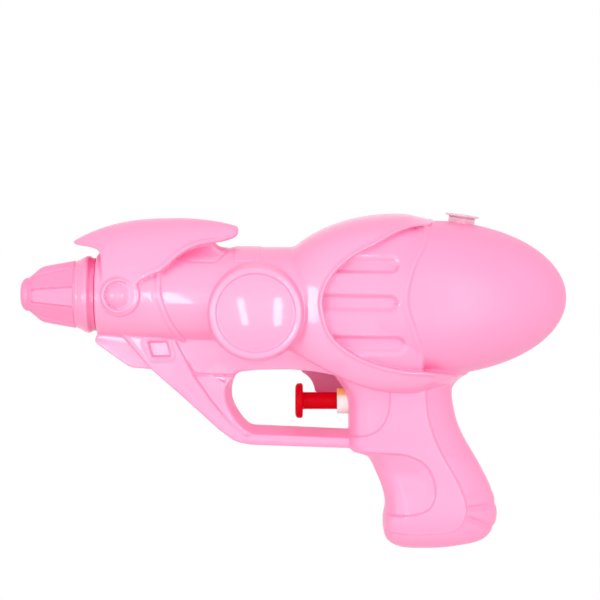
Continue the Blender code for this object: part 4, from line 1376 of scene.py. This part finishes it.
@dataclass
class Shells:
    """The two half shells, welded along the parting plane."""

    shape: BodyShape
    fine_step: float = 0.45
    coarse_step: float = 1.3
    box: tuple[Triple, Triple] = ((-76.0, -0.6, -1.5), (92.5, 24.0, 114.0))
    hollow_box: tuple[Triple, Triple] = ((-68.0, -4.0, -4.0), (96.0, 26.0, 114.0))
    # Ends along the axis and radius
    nozzle_hole: tuple[Point, float] = ((-70.0, -55.0), 7.5)
    gland_hole: tuple[Point, float] = ((12.0, 24.0), 4.6)
    filler_hole: tuple[Point, float] = ((-6.0, 6.0), 3.9)
    pump_z: float = 49.4
    web_line: Outline = (
        (2.5, 63.0), (2.6, 58.4), (4.9, 56.9), (6.2, 55.2), (7.0, 53.2), (7.3, 51.4), (20.5, 51.4),
        (20.5, 63.0))
    web_reach: Point = (6.5, 8.4)

    # Where the faces are satin, by the distance to the outlines they end at, or by X or Z
    tail_edge: Ramp = Ramp(1.5, 3.0)
    tail_foot: Ramp = Ramp(57.0, 4.0)
    tail_start_x: float = 36.0
    tail_end: Ramp = Ramp(-0.6, 0.8)
    hood_side: Ramp = Ramp(0.0, -1.0)
    panel_margin: Ramp = Ramp(-1.0, -1.0)
    groove_margin: Ramp = Ramp(0.4, 0.5)
    grip_satin: float = 0.9
    grip_corner: Point = (18.0, 64.0)
    strap_start_x: float = 37.0
    line_margin: Ramp = Ramp(0.6, 0.8)
    guard_corner: Point = (18.0, 60.0)
    guard_margin: Ramp = Ramp(1.6, 0.6)
    belly_satin: float = 0.6
    belly_top: Ramp = Ramp(65.0, -3.0)
    belly_front: Ramp = Ramp(-40.0, 4.0)
    belly_end_x: float = 17.0
    disc_margin: Ramp = Ramp(0.7, 1.0)
    facet_centre: Point = (-24.8, 57.8)
    facet_margin: Ramp = Ramp(4.5, 1.0)
    knob_satin: float = 0.5
    knob_edge: Ramp = Ramp(3.6, 0.6)
    pane_satin: float = 0.5
    pane_edge: Ramp = Ramp(-0.3, 0.4)

    def cutters(self, filler: "Filler") -> list[bpy.types.Object]:
        """Make the hollow and the holes for the nozzle, the gland and the filler.

        Args:
            filler: The filler, which gives its hole's place and tilt.

        Returns:
            Closed objects to cut away.
        """
        points, quads = FieldMesher(self.coarse_step).mesh(self.shape.hollow, *self.hollow_box, 1)
        return [
            store("hollow", points, quads),
            round_bar("nozzle_hole", *self.nozzle_hole, (0.0, 0.0, self.shape.axis_z)),
            round_bar("gland_hole", *self.gland_hole, (0.0, 0.0, self.pump_z)),
            round_bar("filler_hole", *self.filler_hole, filler.foot(), filler.axis()),
        ]

    def satin_pod(self, x: np.ndarray, z: np.ndarray) -> np.ndarray:
        """Find the satin faces of the pod: the tank's tail and the hood's panel, but not its grooves.

        Args:
            x: X of the points.
            z: Z of the points.

        Returns:
            How satin each point is, from 0 to 1.
        """
        window = self.shape.in_window(x, z)
        tail = self.tail_edge(self.shape.on_panel(x, z)) * self.tail_foot(z) * (x > self.tail_start_x)
        tail = tail * (1.0 - self.tail_end(window))
        panel = self.panel_margin(window) * self.hood_side(self.shape.on_hood(x, z))
        for slot in self.shape.groove_slots(x, z):
            panel = panel * self.groove_margin(np.abs(slot))
        return np.maximum(tail, panel)

    def satin_grip(self, x: np.ndarray, z: np.ndarray) -> np.ndarray:
        """Find the satin faces of the grip, between its creased lines, and of the guard's opening.

        Args:
            x: X of the points.
            z: Z of the points.

        Returns:
            How satin each point is, from 0 to 1.
        """
        lines = np.minimum(np.abs(self.shape.in_thumb(x, z)), np.abs(self.shape.on_front(x, z)))
        lines = np.minimum(lines, np.abs(self.shape.on_side(x, z)))
        lines = np.where(x > self.strap_start_x, lines, FAR)
        start_x, top_z = self.grip_corner
        below = 1.0 - self.hood_side(self.shape.on_hood(x, z))
        grip = self.grip_satin * below * (x > start_x) * (z < top_z) * self.line_margin(lines)
        end_x, top_z = self.guard_corner
        guard = 1.0 - self.guard_margin(np.abs(self.shape.in_opening(x, z)))
        return np.maximum(grip, guard * (z < top_z) * (x < end_x))

    def satin_front(self, x: np.ndarray, z: np.ndarray) -> np.ndarray:
        """Find the satin faces in front: the belly round the disc, the boss's knob and the window's pane.

        Args:
            x: X of the points.
            z: Z of the points.

        Returns:
            How satin each point is, from 0 to 1.
        """
        shape = self.shape
        disc = np.hypot(x - shape.disc_centre[0], z - shape.disc_centre[1]) - shape.disc_radius
        facet = np.hypot(x - self.facet_centre[0], z - self.facet_centre[1])
        knob = np.hypot(x - shape.pivot_centre[0], z - shape.pivot_centre[1])
        belly = self.belly_satin * self.belly_top(z) * self.belly_front(x) * (x < self.belly_end_x)
        belly = belly * self.disc_margin(disc) * self.facet_margin(facet)
        knob = self.knob_satin * (1.0 - self.knob_edge(knob))
        pane = self.pane_satin * (1.0 - self.pane_edge(shape.in_pane(x, z)))
        return np.max([belly, knob, pane], axis=0)

    def polish(self, item: bpy.types.Object, side: int) -> None:
        """Shade a shell by its field's own slope, and mark where it is satin.

        Args:
            item: The shell.
            side: -1 for the left shell and 1 for the right one.
        """
        points = shade_by_field(item.data, self.shape.outer, FieldMesher(self.fine_step), side)
        x, z = points[:, 0], points[:, 2]
        faces = [self.satin_pod(x, z), self.satin_grip(x, z), self.satin_front(x, z)]
        mark_satin(item.data, np.max(faces, axis=0))

    def build(self, finishes: Finishes, filler: "Filler") -> None:
        """Mesh and hollow one half, mirror it for the other half and dress both.

        Args:
            finishes: Where the finishes come from.
            filler: The filler in the tank's top.
        """
        points, quads = FieldMesher(self.fine_step).mesh(self.shape.outer, *self.box)
        right = store("right_shell_moulding", points, quads)
        for tool in self.cutters(filler):
            boolean(right, tool, Operation.DIFFERENCE)
        left = right.copy()
        left.name, left.data = "left_shell_moulding", right.data.copy()
        left.data.transform(Matrix.Diagonal((1.0, -1.0, 1.0, 1.0)))
        left.data.flip_normals()
        bpy.context.scene.collection.objects.link(left)
        boolean(right, self.pump_web(), Operation.UNION)
        for shell, side, node in ((left, -1, "left_shell"), (right, 1, "right_shell")):
            self.polish(shell, side)
            finishes.piece(shell, Look.SHELL, Body.SHELL, node)

    def pump_web(self) -> bpy.types.Object:
        """Make the small web beside the pump's rod.

        Returns:
            The web, as a closed object.
        """
        low, high = self.web_reach
        line = rounded(self.web_line, 0.8, closed=True)
        count = len(line)
        points = [(x, y, z) for y in (low, high) for x, z in line]
        faces = [list(range(count)), list(range(2 * count - 1, count - 1, -1))]
        faces += [[(k + 1) % count, k, count + k, count + (k + 1) % count] for k in range(count)]
        return store("pump_web", np.array(points), faces)


@dataclass
class NozzleCap:
    """Press-fitted nozzle cap: a round tip, a cone with flat panels and a rolled flange."""

    axis_z: float = 85.1
    tip_x: float = -90.6
    back_x: float = -65.3
    step: float = 0.26
    box_x: Point = (-91.6, -60.2)
    box_half: float = 14.2
    # Direction and half width of each flat panel, in degrees
    panels: Sequence[Point] = (
        (0.0, 18.0), (38.0, 20.0), (142.0, 20.0), (180.0, 18.0), (218.0, 20.0), (322.0, 20.0))
    panel_ends: Point = (-87.2, -72.2)
    panel_line: Outline = ((-88.5, 6.9), (-73.2, 11.1), (-71.0, 11.7))
    panel_lift: float = 4.0
    panel_run_out: Ramp = Ramp(0.2, 0.8)
    line_depth: float = 0.28
    line_width: float = 0.6
    line_run_out: Ramp = Ramp(-0.2, 0.6)
    skirt_line: Bead = Bead(0.1, -0.392, 0.8)
    satin_end: Ramp = Ramp(-72.2, -0.6)
    profile: Outline = (
        (-90.7, 2.9), (-90.4, 3.9), (-89.9, 4.7), (-89.3, 5.25), (-88.6, 5.5), (-88.05, 5.5), (-87.7, 5.8),
        (-86.4, 6.85), (-85.2, 7.9), (-84.2, 8.7), (-83.2, 9.2), (-82.0, 9.5), (-80.0, 9.9), (-73.2, 11.1),
        (-71.8, 11.4), (-71.0, 11.55), (-70.2, 12.0), (-69.0, 12.65), (-68.2, 12.85), (-67.5, 12.7),
        (-66.8, 12.3), (-66.2, 12.15), (-65.0, 12.2))
    gasket_seat: Point = (-66.95, 10.3)
    spigot_x: Point = (-80.0, -61.0)
    spigot_radius: float = 7.2
    bores: Sequence[tuple[Point, float]] = (
        ((-92.0, -86.9), 0.8), ((-87.0, -78.2), 2.4), ((-78.3, -60.0), 4.5))

    def __post_init__(self) -> None:
        """Work out the smooth profile."""
        self.line = np.array(smooth_curve(self.profile, 4)).T

    def field(self, x: np.ndarray, y: np.ndarray, z: np.ndarray) -> np.ndarray:
        """Measure the distance to the cap without its bores.

        Args:
            x: X of the points.
            y: Y of the points.
            z: Z of the points.

        Returns:
            Distances, negative inside.
        """
        up = z - self.axis_z
        out = np.sqrt(y ** 2 + up ** 2)
        shape = out - np.interp(x, *self.line)
        radius = np.interp(x, *np.array(self.panel_line).T)
        first, last = self.panel_ends
        ends = np.maximum(first - x, x - last)
        for turn, half in self.panels:
            a, b = math.radians(turn), math.radians(half)
            flat = y * math.cos(a) + up * math.sin(a) - radius * math.cos(b)
            shape = soft_meet(shape, flat - self.panel_lift * self.panel_run_out(ends), 0.12)
            for edge in (a - b, a + b):
                across = up * math.cos(edge) - y * math.sin(edge)
                near = (y * math.cos(edge) + up * math.sin(edge) > 0.0) * (1.0 - self.line_run_out(ends))
                shape = shape - bead(across, self.line_depth, self.line_width) * near
        shape = shape + self.skirt_line(x - last)
        shape = soft_meet(soft_meet(shape, self.tip_x - x, 0.4), x - self.back_x, 0.4)
        seat = np.maximum(self.gasket_seat[0] - x, out - self.gasket_seat[1])
        start, end = self.spigot_x
        spigot = np.maximum(out - self.spigot_radius, np.maximum(x - end, start - x))
        return np.minimum(np.maximum(shape, -seat), spigot)

    def build(self, finishes: Finishes) -> None:
        """Mesh the cap, bore it and dress it.

        Args:
            finishes: Where the finishes come from.
        """
        (front, back), half = self.box_x, self.box_half
        mesher = FieldMesher(self.step)
        points, quads = mesher.mesh(self.field, (front, -half, self.axis_z - half),
                                    (back, half, self.axis_z + half))
        cap = store("nozzle_cap_moulding", points, quads)
        for ends, radius in self.bores:
            drill = round_bar("bore", ends, radius, (0.0, 0.0, self.axis_z))
            boolean(cap, drill, Operation.DIFFERENCE)
        cap.data.set_sharp_from_angle(angle=SHARP)
        places = shade_by_field(cap.data, self.field, mesher)
        mark_satin(cap.data, self.satin_end(places[:, 0]))
        finishes.piece(cap, Look.CAP, Body.SHELL, "nozzle_cap")


# Pump, valves and filler


@dataclass
class Pump:
    """Trigger, gland and the springs of the pump and the outlet valve."""

    pump_z: float = 49.4
    axis_z: float = 85.1
    pad_front_x: float = 0.5
    pad_radius: float = 5.85
    pad_thick: float = 2.65
    rod_radius: float = 2.85
    rod_end_x: float = 26.1
    tail_x: float = 29.0
    tail_radius: float = 1.2
    gland_x: float = 14.5
    stroke: float = 11.0
    spring_x: Point = (30.7, 45.2)
    # Radius at the middle of the wire, radius of the wire and number of turns
    spring_coil: tuple[float, float, int] = (2.75, 0.3, 6)
    outlet_spring_x: Point = (-86.6, -81.65)
    outlet_spring_coil: tuple[float, float, int] = (1.65, 0.2, 5)
    outlet_lift: float = 1.2
    steps_per_turn: int = 28

    def trigger(self, finishes: Finishes) -> None:
        """Make the red trigger: a dished pad with a soft rim, and a plain rod with a thin tail.

        Args:
            finishes: Where the finishes come from.
        """
        back = self.pad_front_x + self.pad_thick
        profile = [
            (self.pad_front_x + 0.25, 0.0), (self.pad_front_x + 0.2, self.pad_radius - 2.6),
            (self.pad_front_x, self.pad_radius - 1.1), (self.pad_front_x + 0.6, self.pad_radius - 0.1),
            (self.pad_front_x + 1.4, self.pad_radius), (back - 0.4, self.pad_radius),
            (back, self.pad_radius - 0.6), (back, self.rod_radius),
            (self.rod_end_x, self.rod_radius), (self.rod_end_x, self.tail_radius),
            (self.tail_x, self.tail_radius), (self.tail_x, 0.0),
        ]
        item = turned("trigger_plunger", rounded(profile, 0.55), (0.0, 0.0, self.pump_z), (1, 0, 0))
        finishes.piece(item, Look.RED, Body.TRIGGER, "trigger")

    def gland(self, finishes: Finishes) -> None:
        """Make the amber gland that the rod runs in.

        Args:
            finishes: Where the finishes come from.
        """
        profile = [
            (self.gland_x, 3.05), (self.gland_x, 4.3), (21.7, 4.3), (21.7, 6.4), (23.7, 6.4), (23.7, 3.65),
            (26.0, 3.65), (26.0, 3.05),
        ]
        item = turned("pump_gland_collar", rounded(profile, 0.4, closed=True), (0.0, 0.0, self.pump_z),
                      (1, 0, 0), closed=True)
        finishes.piece(item, Look.AMBER, Body.SHELL, "pump_gland")

    def coil(self, name: str, ends: Point, winding: tuple[float, float, int],
             axis_z: float) -> bpy.types.Object:
        """Wind a spring along X.

        Args:
            name: Name of the piece.
            ends: Where it starts and ends in X.
            winding: Radius at the middle of the wire, radius of the wire and number of turns.
            axis_z: Height of its axis.

        Returns:
            The spring as one wire.
        """
        radius, wire, turns = winding
        count = self.steps_per_turn * turns
        start, length = ends[0] + wire, ends[1] - ends[0] - 2 * wire
        angles = [2 * math.pi * turns * k / count for k in range(count + 1)]
        route = [Vector((start + length * k / count, radius * math.cos(a), axis_z + radius * math.sin(a)))
                 for k, a in enumerate(angles)]
        return sweep(name, route, wire)

    def springs(self, finishes: Finishes) -> None:
        """Make both springs.

        Args:
            finishes: Where the finishes come from.
        """
        item = self.coil("return_spring_wire", self.spring_x, self.spring_coil, self.pump_z)
        finishes.piece(item, Look.STEEL, Body.SHELL, "return_spring")
        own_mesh(item)
        item = self.coil("outlet_spring_wire", self.outlet_spring_x, self.outlet_spring_coil, self.axis_z)
        finishes.piece(item, Look.STEEL, Body.SHELL, "outlet_spring")
        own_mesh(item)

    def inner_nodes(self, finishes: Finishes) -> None:
        """Dress the pieces that keep their solids: seals, seats, cylinder, piston, balls and hoses.

        Args:
            finishes: Where the finishes come from.
        """
        looks = {
            Look.RUBBER: ("nozzle_gasket", "gland_washer", "piston_ring"),
            Look.MILKY: ("outlet_seat", "inlet_seat", "pump_cylinder", "piston"),
            Look.STEEL: ("outlet_ball", "inlet_ball"),
            Look.HOSE: ("delivery_tube", "suction_tube"),
        }
        for look, names in looks.items():
            for name in names:
                finishes.dress(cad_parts[name], look)
                log.info("%s keeps its solid", name)

    def build(self, finishes: Finishes) -> None:
        """Make and dress the pump's pieces.

        Args:
            finishes: Where the finishes come from.
        """
        self.trigger(finishes)
        self.gland(finishes)
        self.springs(finishes)
        self.inner_nodes(finishes)


@dataclass
class Filler:
    """Soft neck in the tank's top and the plug pushed into it."""

    shape: BodyShape
    x: float = 55.7
    tilt: float = 8.0
    plug_radius: float = 5.65

    def foot(self) -> Triple:
        """Give the point on the tank's top where the filler sits."""
        (x0, z0), reach = self.shape.tank_centre, self.shape.tank_reach[1]
        return self.x, 0.0, z0 + self.shape.tank_height * math.sqrt(1.0 - ((self.x - x0) / reach) ** 2)

    def axis(self) -> Triple:
        """Give the direction that the plug comes out in."""
        return math.sin(math.radians(self.tilt)), 0.0, math.cos(math.radians(self.tilt))

    def build(self, finishes: Finishes) -> None:
        """Make the neck and the plug and dress them.

        Args:
            finishes: Where the finishes come from.
        """
        neck = [(-3.4, 2.7), (1.77, 2.7), (1.77, 4.35), (-0.5, 4.45), (-0.5, 3.5), (-3.4, 3.5)]
        item = turned("filler_neck_sleeve", rounded(neck[::-1], 0.25, closed=True), self.foot(), self.axis(),
                      closed=True)
        finishes.piece(item, Look.CLEAR, Body.SHELL, "filler_neck")
        radius = self.plug_radius
        plug = [
            (-3.6, 0.0), (-3.6, 1.9), (-3.0, 2.35), (1.8, 2.35), (1.8, 4.4), (2.0, 4.55),
            (2.15, radius - 0.3), (2.25, radius), (2.6, radius), (2.75, radius - 0.3), (2.75, 3.6),
            (2.4, 3.0), (2.4, 0.0),
        ]
        item = turned("filler_plug_stopper", rounded(plug, 0.3), self.foot(), self.axis())
        finishes.piece(item, Look.CLEAR, Body.PLUG, "filler_plug")


@dataclass(frozen=True)
class Lamp:
    """A softbox, placed by its direction from the toy and set by how bright its face is."""

    name: str
    azimuth: float
    elevation: float
    distance: float
    size: Point
    radiance: float
    roll: float = 0.0

    def watts(self) -> float:
        """Give the power at which the face has its brightness."""
        return self.radiance * math.pi * self.size[0] * self.size[1] * MM ** 2


@dataclass
class Studio:
    """Camera, softboxes, white surround and pale floor."""

    target: Triple = (2.17, 0.0, 83.2)
    elevation: float = 5.0
    distance: float = 650.0
    view_width: float = 200.0
    sensor: float = 36.0
    floor_z: float = -150.0
    floor_half: float = 4000.0
    floor_glow: float = 1.02
    floor_glow_share: float = 0.9
    front_band: Point = (-0.4, 0.8)
    # Strength of the surround behind and in front of the toy, for matt and for glossy surfaces
    ambient: Point = (0.7, 1.27)
    mirrored: Point = (1.0, 2.7)
    lamps: Sequence[Lamp] = (
        Lamp("left_strip", -14.5, -4.0, 900.0, (95.0, 430.0), 14.0, 12.0),
        Lamp("right_strip", 19.5, -4.0, 900.0, (125.0, 430.0), 14.0),
        Lamp("side_box", -50.0, -4.0, 900.0, (230.0, 150.0), 14.0),
    )

    def place(self, azimuth: float, elevation: float, distance: float) -> Vector:
        """Find the point that lies in a direction from the target.

        Args:
            azimuth: Angle round the target in degrees; the camera's is 0.
            elevation: Angle above level in degrees.
            distance: Distance from the target in millimetres.

        Returns:
            The point, in metres.
        """
        a, e = math.radians(azimuth), math.radians(elevation)
        back = Vector((math.sin(a) * math.cos(e), -math.cos(a) * math.cos(e), math.sin(e)))
        return (Vector(self.target) + back * distance) * MM

    def camera(self) -> None:
        """Set up the camera at the photograph's angle."""
        data = bpy.data.cameras.new("camera")
        data.sensor_width = self.sensor
        data.lens = self.sensor * self.distance / self.view_width
        item = bpy.data.objects.new("camera", data)
        item.location = self.place(0.0, self.elevation, self.distance)
        item.rotation_euler = (math.radians(90.0 - self.elevation), 0.0, 0.0)
        bpy.context.scene.collection.objects.link(item)
        bpy.context.scene.camera = item

    def softboxes(self) -> None:
        """Hang the softboxes, each facing the toy."""
        for lamp in self.lamps:
            data = bpy.data.lights.new(lamp.name, "AREA")
            data.shape = "RECTANGLE"
            data.size, data.size_y = lamp.size[0] * MM, lamp.size[1] * MM
            data.energy = lamp.watts()
            item = bpy.data.objects.new(lamp.name, data)
            item.location = self.place(lamp.azimuth, lamp.elevation, lamp.distance)
            away = item.location - Vector(self.target) * MM
            turn = away.to_track_quat("Z", "Y") @ Quaternion((0.0, 0.0, 1.0), math.radians(lamp.roll))
            item.rotation_euler = turn.to_euler()
            item.visible_diffuse = False
            bpy.context.scene.collection.objects.link(item)

    def seen(self, tree: bpy.types.NodeTree) -> bpy.types.NodeSocket:
        """Add what tells rays that show the background from rays that light the toy.

        Args:
            tree: Tree that gets the nodes.

        Returns:
            A socket that is 1 for camera, glossy and transmission rays.
        """
        path = add_node(tree, "ShaderNodeLightPath")
        either = add_node(tree, "ShaderNodeMath", {"operation": "MAXIMUM"},
                          {0: path.outputs["Is Camera Ray"], 1: path.outputs["Is Glossy Ray"]})
        return add_node(tree, "ShaderNodeMath", {"operation": "MAXIMUM"},
                        {0: either.outputs[0], 1: path.outputs["Is Transmission Ray"]}).outputs[0]

    def surround(self) -> None:
        """Make the white surround, which lights the toy evenly and is a bright wall in front to its gloss."""
        world = bpy.data.worlds.new("surround")
        bpy.context.scene.world = world
        world.use_nodes = True
        tree = world.node_tree
        tree.nodes.clear()
        way = add_node(tree, "ShaderNodeTexCoord").outputs["Generated"]
        front = add_node(tree, "ShaderNodeVectorMath", {"operation": "DOT_PRODUCT", 1: (0.0, -1.0, 0.0)},
                         {0: way})
        start, end = self.front_band
        levels = []
        for low, high in (self.ambient, self.mirrored):
            band = {"interpolation_type": "SMOOTHSTEP", "From Min": start, "From Max": end, "To Min": low,
                    "To Max": high}
            level = add_node(tree, "ShaderNodeMapRange", band, {"Value": front.outputs["Value"]})
            levels.append(level.outputs[0])
        path = add_node(tree, "ShaderNodeLightPath")
        lit = add_node(tree, "ShaderNodeMix", None,
                       {0: path.outputs["Is Glossy Ray"], 2: levels[0], 3: levels[1]})
        either = add_node(tree, "ShaderNodeMath", {"operation": "MAXIMUM"},
                          {0: path.outputs["Is Camera Ray"], 1: path.outputs["Is Transmission Ray"]})
        strength = add_node(tree, "ShaderNodeMix", {3: 1.0}, {0: either.outputs[0], 2: lit.outputs[0]})
        light = add_node(tree, "ShaderNodeBackground", {"Color": (1.0, 1.0, 1.0, 1.0)},
                         {"Strength": strength.outputs[0]})
        add_node(tree, "ShaderNodeOutputWorld", None, {"Surface": light.outputs[0]})

    def floor(self) -> None:
        """Lay the pale floor, which is white to the camera and keeps the toy's shadow."""
        corners = ((-1, -1), (1, -1), (1, 1), (-1, 1))
        points = [(u * self.floor_half, v * self.floor_half, self.floor_z) for u, v in corners]
        item = store("floor", np.array(points), [[0, 1, 2, 3]])
        material = bpy.data.materials.new("pale_studio_floor")
        material.use_nodes = True
        tree = material.node_tree
        tree.nodes.clear()
        matt = add_node(tree, "ShaderNodeBsdfDiffuse", {"Color": linear("#F8F8F8")})
        glow = add_node(tree, "ShaderNodeEmission",
                        {"Color": (1.0, 1.0, 1.0, 1.0), "Strength": self.floor_glow})
        share = add_node(tree, "ShaderNodeMath", {"operation": "MULTIPLY", 1: self.floor_glow_share},
                         {0: self.seen(tree)})
        both = add_node(tree, "ShaderNodeMixShader", None,
                        {0: share.outputs[0], 1: matt.outputs[0], 2: glow.outputs[0]})
        add_node(tree, "ShaderNodeOutputMaterial", None, {"Surface": both.outputs[0]})
        item.data.materials.append(material)
        item.visible_glossy = False

    def build(self) -> None:
        """Set up the whole studio."""
        self.camera()
        self.softboxes()
        self.surround()
        self.floor()
        bpy.context.scene.view_settings.view_transform = "Standard"


def main() -> None:
    """Build the studio and the toy."""
    logging.basicConfig(level=logging.INFO, format="%(message)s")
    Studio().build()
    finishes = Finishes()
    shape = BodyShape()
    filler = Filler(shape)
    Shells(shape).build(finishes, filler)
    NozzleCap().build(finishes)
    Pump().build(finishes)
    filler.build(finishes)


if __name__ == "__main__":
    main()
